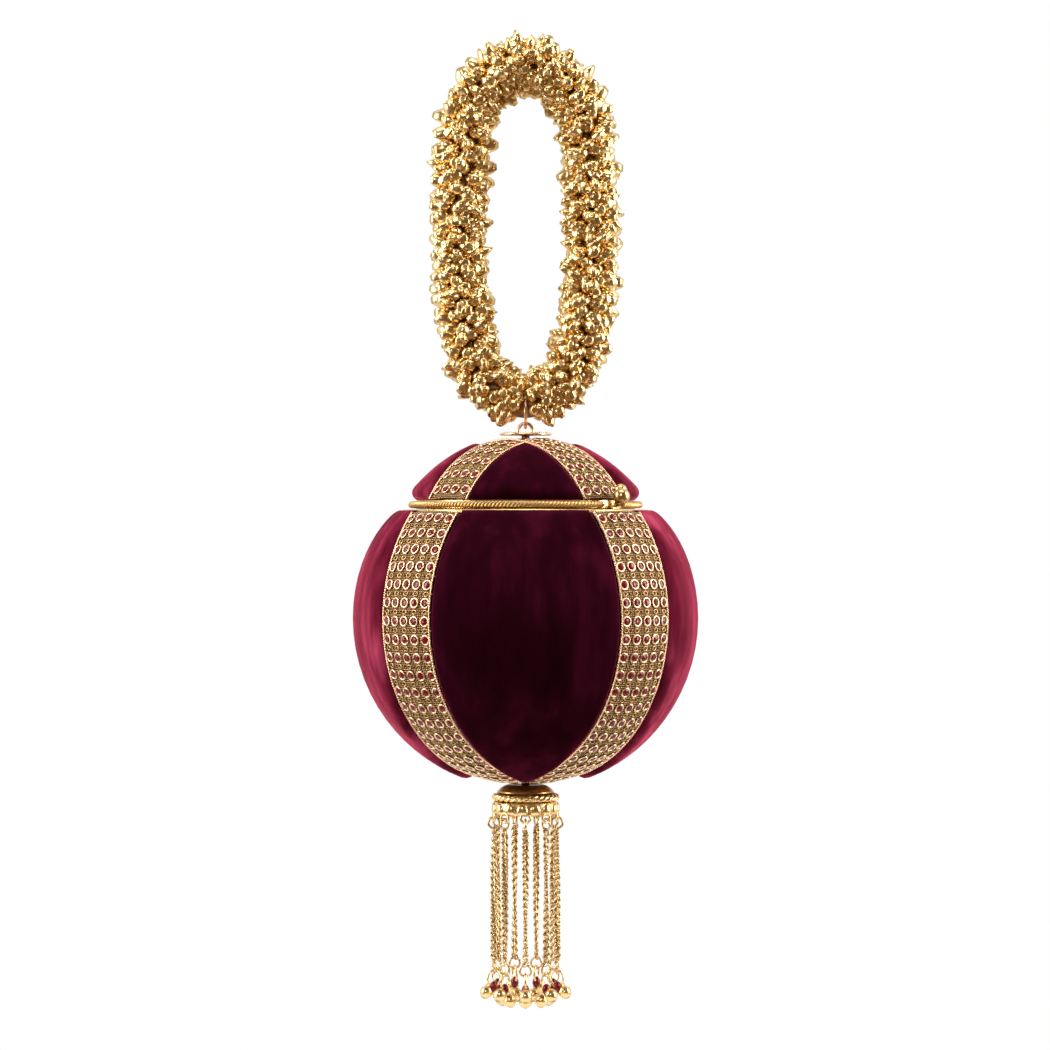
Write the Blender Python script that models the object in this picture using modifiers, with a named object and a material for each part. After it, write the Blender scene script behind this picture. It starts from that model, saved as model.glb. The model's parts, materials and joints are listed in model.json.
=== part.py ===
"""A round velvet evening bag that hangs from a wrist loop covered in bells.

The bag is a ball cut near its top into a lid and a body, hinged at the back left and
shut by two clasp balls at the front right. Two jewelled ribbons cross over each half,
and padded velvet panels fill the quarters between them. A chain tassel hangs below.

The origin is the inside top of the wrist loop, where a finger or a hook holds it.
+Z is up and the front faces -Y. Everything is built down from the origin.
"""

import math
import random

import bmesh
import bpy
from mathutils import Matrix, Vector

MM = 0.001

# Clearances
CLEARANCE = 0.3 * MM
COVER_GAP = 0.8 * MM
SIDE_GAP = 0.6 * MM

# Wrist loop: a closed cord with bells stitched all over it
LOOP_OPENING_WIDTH = 24.6 * MM
LOOP_OPENING_HEIGHT = 107.2 * MM
CORE_RADIUS = 5.0 * MM
BELL_LENGTH_AT_ENDS = 5.2 * MM
BELL_LENGTH_AT_SIDES = 6.8 * MM
BELL_LENGTH_OVER_PLATE = 2.2 * MM
PLATE_SPAN = 15.0 * MM
BELL_ROWS = 48
BELL_COLUMNS = 6
BARE_ROWS = 1

# Ring, staple and plate between the loop and the lid
TOP_RING_RADIUS = 7.2 * MM
TOP_RING_WIRE = 0.65 * MM
STAPLE_RADIUS = 2.6 * MM
STAPLE_WIRE = 0.6 * MM
STAPLE_RISE = 3.7 * MM
PLATE_RADIUS = 9.9 * MM
PLATE_THICKNESS = 0.8 * MM
STUD_RADIUS = 1.5 * MM
STUD_TIP = 0.6 * MM
NUT_RADIUS = 3.6 * MM
NUT_HEIGHT = 2.2 * MM
NUT_STANDOFF = 0.7 * MM

# Layers of both halves
SHELL_THICKNESS = 1.8 * MM
LINING_THICKNESS = 0.8 * MM
RIBBON_THICKNESS = 1.3 * MM
PANEL_THICKNESS = 3.2 * MM
PANEL_EDGE_DROP = 1.7 * MM

# Lid
LID_COVER_RADIUS = 47.8 * MM
LID_RIBBON_WIDTH = 20.6 * MM

# Body
BODY_COVER_RADIUS = 61.3 * MM
BODY_RIBBON_WIDTH = 25.0 * MM

# Frame rings and the parting line between them
LID_FRAME_RADIUS = 41.1 * MM
FRAME_LIP = 3.9 * MM
FRAME_WALL = 1.2 * MM
LID_FRAME_HEIGHT = 3.0 * MM
BODY_FRAME_SHELF = 4.9 * MM
BODY_FRAME_SKIRT = 5.0 * MM
SEAM_CORD_RADIUS = 1.25 * MM
FRAME_RADIUS_INSIDE = LID_FRAME_RADIUS - FRAME_LIP
BODY_FRAME_RADIUS = LID_FRAME_RADIUS + BODY_FRAME_SHELF

# Mouths: each cover ends where it meets its frame ring
LID_FRAME_PROUD = 0.36 * MM
BODY_FRAME_INSET = 0.54 * MM
LID_MOUTH_RADIUS = LID_FRAME_RADIUS - LID_FRAME_PROUD
BODY_MOUTH_RADIUS = BODY_FRAME_RADIUS + BODY_FRAME_INSET
LID_MOUTH_HEIGHT = math.sqrt(LID_COVER_RADIUS ** 2 - LID_MOUTH_RADIUS ** 2)
BODY_MOUTH_HEIGHT = math.sqrt(BODY_COVER_RADIUS ** 2 - BODY_MOUTH_RADIUS ** 2)

# Hinge
HINGE_AZIMUTH = math.radians(135)
HINGE_RADIUS = BODY_FRAME_RADIUS
KNUCKLE_RADIUS = 1.6 * MM
MIDDLE_KNUCKLE_LENGTH = 5.0 * MM
OUTER_KNUCKLE_LENGTH = 4.0 * MM
HINGE_PIN_RADIUS = 0.75 * MM
HINGE_PIN_HEAD = 1.3 * MM
HINGE_PIN_HEAD_HEIGHT = 0.6 * MM

# Clasp
CLASP_BALL_RADIUS = 2.65 * MM
CLASP_ARM_RADIUS = 0.9 * MM
CLASP_PAD_WIDTH = 2.2 * MM
CLASP_PAD_LENGTH = 4.5 * MM
CLASP_PAD_MARGIN = 1.1 * MM
CLASP_BALL_GAP = 1.8 * MM
CLASP_BALL_STEP = 3.6 * MM
BODY_BALL_AZIMUTH = math.radians(-43.5)
BODY_BALL_HEIGHT = 4.6 * MM
LID_BALL_AZIMUTH = math.radians(-39)
LID_BALL_HEIGHT = 7.4 * MM

# Gaps that the seam cord leaves for the hinge and the clasp
CORD_GAP_AT_HINGE = 8.0 * MM
CORD_GAP_AT_CLASP = 5.5 * MM

# Tassel cap and its rings
CAP_NECK_RADIUS = 7.9 * MM
CAP_SHOULDER_RADIUS = 8.7 * MM
CAP_BRIM_RADIUS = 10.7 * MM
CAP_BRIM_DROP = 2.8 * MM
CAP_WALL_RADIUS = 9.9 * MM
CAP_WALL = 0.9 * MM
CAP_HEIGHT = 10.4 * MM
TWIST_RING_WIRE = 1.3 * MM
SCALLOP_RING_RADIUS = 12.8 * MM
SCALLOP_RING_HEIGHT = 4.9 * MM
SCALLOP_EDGE = 0.5 * MM

# Tassel strands
STRANDS = 9
EYELET_RADIUS = 1.75 * MM
EYELET_WIRE = 0.6 * MM
EYELET_PITCH_RADIUS = 12.0 * MM
JUMP_RING_RADIUS = 2.1 * MM
JUMP_RING_WIRE = 0.45 * MM
CHAIN_LENGTH = 52.0 * MM
CHAIN_HALF_WIDTH = 1.3 * MM
CHAIN_TURNS = 2
DROP_RING_RADIUS = 3.0 * MM
DROP_BELL_RADIUS = 2.5 * MM
DROP_BELL_SPREAD = 2.8 * MM
DROP_TIE = 2.1 * MM
DROP_BELL_FALL = 5.0 * MM
DROP_BELL_STAGGER = 2.6 * MM

# Facets
SHELL_SEGMENTS = 20
RING_SEGMENTS = 28
COVER_STEP = math.radians(9)
PANEL_COLUMNS = 8
CORD_STEPS = 20

# Levels down the object
LOOP_HALF_WIDTH = LOOP_OPENING_WIDTH / 2 + CORE_RADIUS + BELL_LENGTH_AT_SIDES
LOOP_TOP = CORE_RADIUS + BELL_LENGTH_AT_ENDS
LOOP_BOTTOM = -LOOP_OPENING_HEIGHT - LOOP_TOP
TOP_RING_CENTRE = LOOP_BOTTOM + CORE_RADIUS + CLEARANCE + TOP_RING_WIRE - TOP_RING_RADIUS
TOP_RING_LOWEST = TOP_RING_CENTRE - TOP_RING_RADIUS
STAPLE_BAR = TOP_RING_LOWEST + TOP_RING_WIRE + CLEARANCE + STAPLE_WIRE
LID_PIVOT = (STAPLE_BAR + TOP_RING_LOWEST) / 2
PLATE_TOP = STAPLE_BAR - STAPLE_RISE
LID_RIBBON_TOP = PLATE_TOP - PLATE_THICKNESS - CLEARANCE
LID_CENTRE = LID_RIBBON_TOP - LID_COVER_RADIUS - RIBBON_THICKNESS
LID_RIM = LID_CENTRE + LID_MOUTH_HEIGHT
LID_FRAME_TOP = LID_RIM - CLEARANCE
LID_FRAME_BASE = LID_FRAME_TOP - LID_FRAME_HEIGHT
BODY_FRAME_TOP = LID_FRAME_BASE - CLEARANCE
BODY_RIM = BODY_FRAME_TOP - CLEARANCE
BODY_SHELL_RIM = BODY_FRAME_TOP - FRAME_WALL - CLEARANCE
BODY_CENTRE = BODY_RIM - BODY_MOUTH_HEIGHT
SEAM_CORD_LEVEL = (LID_FRAME_TOP + LID_FRAME_BASE) / 2
HINGE_LEVEL = BODY_FRAME_TOP + CLEARANCE + KNUCKLE_RADIUS
BODY_RIBBON_BOTTOM = BODY_CENTRE - BODY_COVER_RADIUS - RIBBON_THICKNESS
CAP_TOP = BODY_RIBBON_BOTTOM - CLEARANCE
CAP_BRIM = CAP_TOP - CAP_BRIM_DROP
TWIST_RING_LEVEL = CAP_BRIM - CLEARANCE - TWIST_RING_WIRE
SCALLOP_TOP = TWIST_RING_LEVEL - TWIST_RING_WIRE - CLEARANCE
SCALLOP_BASE = SCALLOP_TOP - SCALLOP_RING_HEIGHT
EYELET_LEVEL = SCALLOP_BASE - EYELET_WIRE
STRAND_PIVOT = EYELET_LEVEL - EYELET_RADIUS
STUD_HOLE_RADIUS = STUD_RADIUS + CLEARANCE

# The lid's clasp ball stands clear of the ribbon, and the body's snaps over it
LID_BALL_LEVEL = LID_FRAME_BASE + CLEARANCE + LID_BALL_HEIGHT
LID_BALL_REACH = LID_COVER_RADIUS + RIBBON_THICKNESS + CLASP_BALL_GAP + CLASP_BALL_RADIUS
LID_BALL_RADIUS = math.sqrt(LID_BALL_REACH ** 2 - (LID_BALL_LEVEL - LID_CENTRE) ** 2)
BODY_BALL_RADIUS = LID_BALL_RADIUS + CLASP_BALL_STEP


def clear_scene():
    for thing in list(bpy.data.objects):
        bpy.data.objects.remove(thing)


def make_material(name, colour, roughness, metallic=0.0):
    material = bpy.data.materials.new(name)
    material.use_nodes = True
    shader = material.node_tree.nodes["Principled BSDF"]
    shader.inputs["Base Color"].default_value = (*colour, 1.0)
    shader.inputs["Roughness"].default_value = roughness
    shader.inputs["Metallic"].default_value = metallic
    return material


def mesh_from(form, name="form"):
    """Turn a finished bmesh into a mesh whose faces point outwards."""
    bmesh.ops.recalc_face_normals(form, faces=form.faces)
    mesh = bpy.data.meshes.new(name)
    form.to_mesh(mesh)
    form.free()
    return mesh


def pivot(name, location, parent=None):
    """An empty on a joint's axis, which carries the pieces that turn about it."""
    empty = bpy.data.objects.new(name, None)
    COLLECTION.objects.link(empty)
    empty.location = location
    if parent is not None:
        empty.parent = parent
        empty.location = Vector(location) - parent.matrix_world.translation
    bpy.context.view_layer.update()
    return empty


def add_piece(name, mesh, material, level=0.0, azimuth=0.0, carrier=None):
    """Place a mesh on the bag's axis at a level, turned about it, and hang it on its carrier."""
    piece = bpy.data.objects.new(name, mesh)
    COLLECTION.objects.link(piece)
    piece.data.materials.clear()
    piece.data.materials.append(material)
    piece.location = (0, 0, level)
    piece.rotation_euler = (0, 0, azimuth)
    if carrier is not None:
        piece.parent = carrier
        piece.location = Vector((0, 0, level)) - carrier.matrix_world.translation
    piece.data.shade_smooth()
    piece.data.set_sharp_from_angle(angle=math.radians(35))
    return piece


def fused(shapes, cutters=()):
    """One closed mesh: the first shape with the others joined on, less the cutters."""
    helpers = [bpy.data.objects.new("helper", mesh) for mesh in (*shapes, *cutters)]
    for helper in helpers:
        COLLECTION.objects.link(helper)
    base = helpers[0]
    for number, helper in enumerate(helpers[1:], start=1):
        modifier = base.modifiers.new("join", "BOOLEAN")
        modifier.operation = "UNION" if number < len(shapes) else "DIFFERENCE"
        modifier.object = helper
    finished = base.evaluated_get(bpy.context.evaluated_depsgraph_get())
    mesh = bpy.data.meshes.new_from_object(finished)
    for helper in helpers:
        bpy.data.objects.remove(helper)
    return mesh


def rod(radius, start, end, segments=12):
    """A solid rod between two points."""
    start, end = Vector(start), Vector(end)
    along = end - start
    turn = Vector((0, 0, 1)).rotation_difference(along).to_matrix().to_4x4()
    form = bmesh.new()
    bmesh.ops.create_cone(
        form, cap_ends=True, segments=segments, radius1=radius, radius2=radius, depth=along.length,
        matrix=Matrix.Translation((start + end) / 2) @ turn)
    return mesh_from(form)


def block(size, centre, azimuth=0.0):
    """A box of a size (radial, tangential, upright) about a centre given the same way."""
    turn = Matrix.Rotation(azimuth, 4, "Z")
    form = bmesh.new()
    bmesh.ops.create_cube(
        form, size=1.0, matrix=turn @ Matrix.Translation(centre) @ Matrix.Diagonal((*size, 1.0)))
    return mesh_from(form)


def ball(radius, centre, segments=12, rings=8):
    form = bmesh.new()
    bmesh.ops.create_uvsphere(
        form, u_segments=segments, v_segments=rings, radius=radius,
        matrix=Matrix.Translation(centre))
    return mesh_from(form)


def wire_ring(radius, wire, centre, normal, segments=12, sides=6):
    """A closed ring of round wire about a centre, in the plane across its normal."""
    turn = Vector((0, 0, 1)).rotation_difference(Vector(normal)).to_matrix().to_4x4()
    form = bmesh.new()
    section = bmesh.ops.create_circle(
        form, segments=sides, radius=wire,
        matrix=Matrix.Translation((radius, 0, 0)) @ Matrix.Rotation(math.pi / 2, 4, "X"))
    bmesh.ops.spin(
        form, geom=section["verts"] + form.edges[:], cent=(0, 0, 0), axis=(0, 0, 1),
        angle=2 * math.pi, steps=segments, use_merge=True)
    bmesh.ops.transform(form, matrix=Matrix.Translation(centre) @ turn, verts=form.verts)
    return mesh_from(form)


def turned(name, outline, material, level, segments=RING_SEGMENTS, carrier=None):
    """A turned piece: its closed outline runs down the outer side and up the inner one."""
    mesh = bpy.data.meshes.new(name)
    count = len(outline)
    edges = [(index, (index + 1) % count) for index in range(count)]
    mesh.from_pydata([(radius, 0, height) for radius, height in outline], edges, [])
    piece = add_piece(name, mesh, material, level, carrier=carrier)
    screw = piece.modifiers.new("turn", "SCREW")
    screw.steps = segments
    screw.render_steps = segments
    screw.use_merge_vertices = True
    screw.merge_threshold = 0.00001
    return piece


def polar_arc(radius, start, end, steps):
    """Points (distance from the axis, height) on a ball, by the angle from its top."""
    angles = [start + (end - start) * step / steps for step in range(steps + 1)]
    return [(radius * math.sin(angle), radius * math.cos(angle)) for angle in angles]


def loop_point(distance):
    """The wrist loop's centre line from its bottom: place and outward direction."""
    bend = LOOP_HALF_WIDTH
    upper = LOOP_TOP - bend
    lower = LOOP_BOTTOM + bend
    quarter = bend * math.pi / 2
    side = upper - lower
    distance %= 4 * quarter + 2 * side
    stretches = (
        (quarter, lower, -math.pi / 2), (side, None, 0.0), (2 * quarter, upper, 0.0),
        (side, None, math.pi), (quarter, lower, math.pi))
    for length, centre, start in stretches:
        if distance <= length:
            break
        distance -= length
    if centre is None:
        outward = Vector((math.cos(start), 0, 0))
        height = lower + distance if outward.x > 0 else upper - distance
        return Vector((outward.x * bend, 0, height)), outward
    angle = start + distance / bend
    outward = Vector((math.cos(angle), 0, math.sin(angle)))
    return Vector((0, 0, centre)) + outward * bend, outward


def loop_length():
    bend = LOOP_HALF_WIDTH
    return 2 * math.pi * bend + 2 * (LOOP_TOP - LOOP_BOTTOM - 2 * bend)


def bell_cord():
    """The cord as a closed tube, with a bell drawn out of every second face.

    The faces at the very bottom stay bare, because the ring passes there, and the bells
    next to them are short, because the plate swings close below.
    """
    form = bmesh.new()
    bmesh.ops.create_grid(form, x_segments=BELL_ROWS, y_segments=BELL_COLUMNS, size=1.0)
    bell_layer = form.faces.layers.int.new("bell")
    for face in form.faces:
        middle = face.calc_center_median()
        row = int((middle.x + 1) / 2 * BELL_ROWS)
        column = int((middle.y + 1) / 2 * BELL_COLUMNS)
        face[bell_layer] = (row + column) % 2 == 0 and min(row, BELL_ROWS - row) > BARE_ROWS
    pitch = loop_length() / BELL_ROWS
    for vertex in form.verts:
        row = (vertex.co.x + 1) / 2 * BELL_ROWS
        turn = (vertex.co.y + 1) * math.pi
        centre, outward = loop_point((row - 0.5) * pitch)
        around = outward * math.cos(turn) + Vector((0, 1, 0)) * math.sin(turn)
        vertex.co = centre + around * CORE_RADIUS
    bmesh.ops.remove_doubles(form, verts=form.verts, dist=0.1 * MM)
    bmesh.ops.recalc_face_normals(form, faces=form.faces)
    draws = random.Random(4)
    bells = [face for face in form.faces if face[bell_layer]]
    lean = {}
    for share, narrowing in ((0.62, 0.86), (0.38, 0.42)):
        bells = bmesh.ops.extrude_discrete_faces(form, faces=bells)["faces"]
        for number, face in enumerate(bells):
            normal = face.normal.copy()
            middle = face.calc_center_median()
            sideways = min(abs(middle.x) / LOOP_HALF_WIDTH, 1.0)
            length = BELL_LENGTH_AT_ENDS + (BELL_LENGTH_AT_SIDES - BELL_LENGTH_AT_ENDS) * sideways
            if middle.z < LOOP_BOTTOM + LOOP_HALF_WIDTH and abs(middle.x) < PLATE_SPAN:
                length = BELL_LENGTH_OVER_PLATE
            lean.setdefault(number, Vector([draws.uniform(-0.1, 0.1) for _ in range(3)]))
            direction = (normal + lean[number]).normalized()
            bmesh.ops.translate(form, verts=face.verts, vec=direction * length * share)
            bmesh.ops.scale(
                form, verts=face.verts, vec=[narrowing] * 3,
                space=Matrix.Translation(-face.calc_center_median()))
    return mesh_from(form)


def staple_plate():
    """The plate that sits on the lid, with the staple soldered on and the stud below."""
    arch = bmesh.new()
    section = bmesh.ops.create_circle(
        arch, segments=8, radius=STAPLE_WIRE, matrix=Matrix.Translation((STAPLE_RADIUS, 0, 0)))
    rim = section["verts"] + arch.edges[:]
    foot = bmesh.ops.extrude_edge_only(arch, edges=arch.edges[:])["geom"]
    sunk = STAPLE_RISE - STAPLE_RADIUS + PLATE_THICKNESS / 2
    bmesh.ops.translate(
        arch, verts=[item for item in foot if isinstance(item, bmesh.types.BMVert)],
        vec=(0, 0, -sunk))
    bmesh.ops.spin(
        arch, geom=rim, cent=(0, 0, 0), axis=(0, -1, 0), angle=math.pi, steps=8)
    far_end = [edge for edge in arch.edges if edge.is_boundary and edge.verts[0].co.x < 0]
    far_foot = bmesh.ops.extrude_edge_only(arch, edges=far_end)["geom"]
    bmesh.ops.translate(
        arch, verts=[item for item in far_foot if isinstance(item, bmesh.types.BMVert)],
        vec=(0, 0, -sunk))
    bmesh.ops.holes_fill(arch, edges=arch.edges)
    bmesh.ops.translate(arch, verts=arch.verts, vec=(0, 0, STAPLE_RISE - STAPLE_RADIUS))
    plate = rod(PLATE_RADIUS, (0, 0, 0), (0, 0, -PLATE_THICKNESS), segments=24)
    covers = CLEARANCE + RIBBON_THICKNESS + COVER_GAP + SHELL_THICKNESS
    grip = covers + CLEARANCE + LINING_THICKNESS + NUT_STANDOFF + NUT_HEIGHT + STUD_TIP
    stud = rod(STUD_RADIUS, (0, 0, -PLATE_THICKNESS / 2), (0, 0, -PLATE_THICKNESS - grip))
    return fused([plate, stud, mesh_from(arch)])


def dome(name, outer_radius, thickness, start, end, steps, material, level, carrier):
    """A thin dome or bowl with a hole for the stud at its pole."""
    inner_radius = outer_radius - thickness
    outer = polar_arc(outer_radius, start(outer_radius), end(outer_radius), steps)
    inner = polar_arc(inner_radius, start(inner_radius), end(inner_radius), steps)
    return turned(name, outer + inner[::-1], material, level, SHELL_SEGMENTS, carrier)


def ribbon(inner_radius, width, start, end, steps, hole_level=None):
    """A band of constant width bent over a ball, from one angle off the top to another."""
    half = width / 2
    across = (-half, 0.0, half)
    outer_radius = inner_radius + RIBBON_THICKNESS
    outline = [(place, math.sqrt(outer_radius ** 2 - place ** 2)) for place in across]
    outline += [(place, math.sqrt(inner_radius ** 2 - place ** 2)) for place in across[::-1]]
    form = bmesh.new()
    corners = [
        form.verts.new((radius * math.sin(start), place, radius * math.cos(start)))
        for place, radius in outline]
    sides = [form.edges.new((corners[index - 1], corners[index])) for index in range(len(corners))]
    bmesh.ops.spin(
        form, geom=corners + sides, cent=(0, 0, 0), axis=(0, 1, 0), angle=end - start, steps=steps)
    bmesh.ops.holes_fill(form, edges=form.edges)
    band = mesh_from(form)
    if hole_level is None:
        return band
    reach = 3 * RIBBON_THICKNESS
    drill = rod(STUD_HOLE_RADIUS, (0, 0, hole_level - reach), (0, 0, hole_level + reach))
    return fused([band], [drill])


def padded_panel(inner_radius, ribbon_width, start, end, columns, rows):
    """A velvet pad that fills the quarter between two ribbons and narrows to a tip.

    A flat grid is wrapped on the ball, lowered towards its rim, and thickened inwards.
    """
    outer_radius = inner_radius + PANEL_THICKNESS
    margin = ribbon_width / 2 + SIDE_GAP
    form = bmesh.new()
    bmesh.ops.create_grid(form, x_segments=columns, y_segments=rows, size=1.0)
    for vertex in form.verts:
        sideways, upright = vertex.co.x, vertex.co.y
        angle = start + (end - start) * (upright + 1) / 2
        spread = math.pi / 4 - math.asin(margin / (inner_radius * math.sin(angle)))
        azimuth = spread * sideways
        drop = PANEL_EDGE_DROP * max(abs(sideways), abs(upright)) ** 6
        vertex.co = Vector((
            math.sin(angle) * math.cos(azimuth), math.sin(angle) * math.sin(azimuth),
            math.cos(angle))) * (outer_radius - drop)
    backs = bmesh.ops.extrude_face_region(form, geom=form.faces[:])["geom"]
    for item in backs:
        if isinstance(item, bmesh.types.BMVert):
            item.co = item.co.normalized() * inner_radius
    return mesh_from(form)


def panel_tip_angle(inner_radius, ribbon_width):
    """The angle off the pole at which a panel has narrowed to a blunt tip."""
    margin = ribbon_width / 2 + SIDE_GAP
    return math.asin((margin + SIDE_GAP) * math.sqrt(2) / inner_radius)


def hinge_axis_point(offset):
    """A point on the hinge's axis, at a distance along it from its middle."""
    place = Matrix.Rotation(HINGE_AZIMUTH, 3, "Z") @ Vector((HINGE_RADIUS, -offset, 0))
    return place + Vector((0, 0, HINGE_LEVEL))


def frame_ring(outline, base_level, knuckles, web_size, web_centre):
    """A frame ring with its hinge knuckles: (offset, length) pairs along the hinge's axis."""
    helper = turned("helper_ring", outline, BRASS, base_level)
    ring = bpy.data.meshes.new_from_object(
        helper.evaluated_get(bpy.context.evaluated_depsgraph_get()))
    ring.transform(helper.matrix_world)
    bpy.data.objects.remove(helper)
    shapes = [ring]
    for offset, length in knuckles:
        radial, upright = web_size
        shapes.append(block(
            (radial, length - CLEARANCE, upright), (web_centre[0], -offset, web_centre[1]),
            HINGE_AZIMUTH))
        shapes.append(rod(
            KNUCKLE_RADIUS, hinge_axis_point(offset - length / 2),
            hinge_axis_point(offset + length / 2)))
    reach = MIDDLE_KNUCKLE_LENGTH + OUTER_KNUCKLE_LENGTH
    drill = rod(HINGE_PIN_RADIUS + CLEARANCE, hinge_axis_point(-reach), hinge_axis_point(reach))
    return fused(shapes, [drill])


def clasp(foot_radius, foot_level, azimuth, ball_radius, ball_height):
    """A clasp ball on an arm that rises from a foot on the frame."""
    turn = Matrix.Rotation(azimuth, 3, "Z")
    foot = turn @ Vector((foot_radius, 0, foot_level + CLASP_ARM_RADIUS / 2))
    centre = turn @ Vector((ball_radius, 0, foot_level + ball_height))
    pad = block(
        (CLASP_PAD_WIDTH, CLASP_PAD_LENGTH, CLASP_ARM_RADIUS),
        (foot_radius, 0, foot_level + CLASP_ARM_RADIUS / 2), azimuth)
    arm = rod(CLASP_ARM_RADIUS, foot, centre, 8)
    return fused([pad, arm, ball(CLASP_BALL_RADIUS, centre)])


def seam_cord(name, start, end, carrier):
    """One length of the cord round the seam, as a curve with a round section."""
    radius = LID_FRAME_RADIUS + CLEARANCE + SEAM_CORD_RADIUS
    curve = bpy.data.curves.new(name, "CURVE")
    curve.dimensions = "3D"
    curve.bevel_depth = SEAM_CORD_RADIUS
    curve.bevel_resolution = 1
    curve.use_fill_caps = True
    line = curve.splines.new("POLY")
    line.points.add(CORD_STEPS)
    for number, point in enumerate(line.points):
        angle = start + (end - start) * number / CORD_STEPS
        point.co = (radius * math.cos(angle), radius * math.sin(angle), 0, 1)
    cord = bpy.data.objects.new(name, curve)
    COLLECTION.objects.link(cord)
    curve.materials.append(GOLD)
    cord.parent = carrier
    cord.location = Vector((0, 0, SEAM_CORD_LEVEL)) - carrier.matrix_world.translation
    return cord


def nut(name, level, carrier):
    """A six-sided nut, turned with six steps, that clears its stud."""
    bore = STUD_HOLE_RADIUS / math.cos(math.pi / 6)
    outline = [(NUT_RADIUS, NUT_HEIGHT), (NUT_RADIUS, 0), (bore, 0), (bore, NUT_HEIGHT)]
    return turned(name, outline, BRASS, level, 6, carrier)


def tassel_cap():
    """The cap as a turned cup, open below, with its stud going up into the bowl."""
    inner = CAP_WALL_RADIUS - CAP_WALL
    covers = CLEARANCE + RIBBON_THICKNESS + COVER_GAP + SHELL_THICKNESS
    stud_top = covers + CLEARANCE + LINING_THICKNESS + NUT_STANDOFF + NUT_HEIGHT + STUD_TIP
    brim = -CAP_BRIM_DROP
    return [
        (0, stud_top), (STUD_RADIUS, stud_top), (STUD_RADIUS, 0), (CAP_NECK_RADIUS, 0),
        (CAP_SHOULDER_RADIUS, brim / 2),
        (CAP_BRIM_RADIUS, brim), (CAP_WALL_RADIUS, brim), (CAP_WALL_RADIUS, -CAP_HEIGHT),
        (inner, -CAP_HEIGHT), (inner, brim), (CAP_NECK_RADIUS - CAP_WALL, -CAP_WALL),
        (0, -CAP_WALL)]


def scallop_ring():
    """The ring round the cap's foot with an eyelet for each strand on its lower edge."""
    inner = CAP_WALL_RADIUS + CLEARANCE
    outline = [
        (SCALLOP_RING_RADIUS - SCALLOP_EDGE, SCALLOP_RING_HEIGHT),
        (SCALLOP_RING_RADIUS, SCALLOP_RING_HEIGHT / 2), (SCALLOP_RING_RADIUS, 0),
        (inner, 0), (inner, SCALLOP_RING_HEIGHT)]
    helper = turned("helper_ring", outline, GOLD, 0.0, 3 * STRANDS)
    ring = bpy.data.meshes.new_from_object(
        helper.evaluated_get(bpy.context.evaluated_depsgraph_get()))
    bpy.data.objects.remove(helper)
    shapes = [ring]
    for azimuth in strand_azimuths():
        outward = Matrix.Rotation(azimuth, 3, "Z") @ Vector((1, 0, 0))
        centre = outward * EYELET_PITCH_RADIUS + Vector((0, 0, EYELET_LEVEL - SCALLOP_BASE))
        shapes.append(wire_ring(EYELET_RADIUS, EYELET_WIRE, centre, outward, 8, 4))
    return fused(shapes)


def strand_azimuths():
    """The front strand is first, and the others follow round the cap."""
    return [-math.pi / 2 + number * 2 * math.pi / STRANDS for number in range(STRANDS)]


def chain():
    """A strand from its hinge point: jump ring, twisted links, and the end ring."""
    top = -(JUMP_RING_RADIUS - JUMP_RING_WIRE - CLEARANCE - EYELET_WIRE)
    start = top - JUMP_RING_RADIUS
    form = bmesh.new()
    section = bmesh.ops.create_circle(
        form, segments=4, radius=CHAIN_HALF_WIDTH, matrix=Matrix.Translation((0, 0, start)))
    steps = 6 * CHAIN_TURNS
    bmesh.ops.spin(
        form, geom=section["verts"] + form.edges[:], cent=(0, 0, 0), axis=(0, 0, 1),
        dvec=(0, 0, -CHAIN_LENGTH / steps), angle=CHAIN_TURNS * 2 * math.pi, steps=steps)
    bmesh.ops.holes_fill(form, edges=form.edges)
    links = mesh_from(form)
    jump_ring = wire_ring(JUMP_RING_RADIUS, JUMP_RING_WIRE, (0, 0, top), (0, 1, 0), 8, 4)
    foot = start - CHAIN_LENGTH
    end_ring = wire_ring(JUMP_RING_RADIUS, JUMP_RING_WIRE, (0, 0, foot), (1, 0, 0), 8, 4)
    return fused([links, jump_ring, end_ring])


def drop():
    """A wire ring through the chain's end ring, with two bells hanging from it."""
    ring_level = drop_level()
    ring = wire_ring(DROP_RING_RADIUS, JUMP_RING_WIRE, (0, 0, ring_level), (0, 1, 0), 10, 4)
    shapes = [ring]
    for side, fall in ((1, DROP_BELL_FALL), (-1, DROP_BELL_FALL + DROP_BELL_STAGGER)):
        centre = Vector((side * DROP_BELL_SPREAD, 0, ring_level - fall))
        start = Vector((side * DROP_TIE, 0, ring_level - DROP_TIE))
        shapes.append(rod(JUMP_RING_WIRE, start, centre, 5))
        shapes.append(ball(DROP_BELL_RADIUS, centre, 8, 5))
    return fused(shapes)


def drop_level():
    """The drop ring's centre below the strand's hinge point: it hangs in the end ring."""
    top = -(JUMP_RING_RADIUS - JUMP_RING_WIRE - CLEARANCE - EYELET_WIRE)
    foot = top - JUMP_RING_RADIUS - CHAIN_LENGTH
    hung = foot - JUMP_RING_RADIUS + 2 * JUMP_RING_WIRE + CLEARANCE
    return hung - DROP_RING_RADIUS


def build_wrist_loop():
    add_piece("wrist_loop", bell_cord(), GOLD)
    ring_pivot = pivot("ring_pivot", (0, 0, LOOP_BOTTOM))
    ring = wire_ring(
        TOP_RING_RADIUS, TOP_RING_WIRE, (0, 0, 0), (1, 0, 0), segments=20)
    add_piece("top_ring", ring, GOLD, TOP_RING_CENTRE, carrier=ring_pivot)
    return ring_pivot


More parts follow.
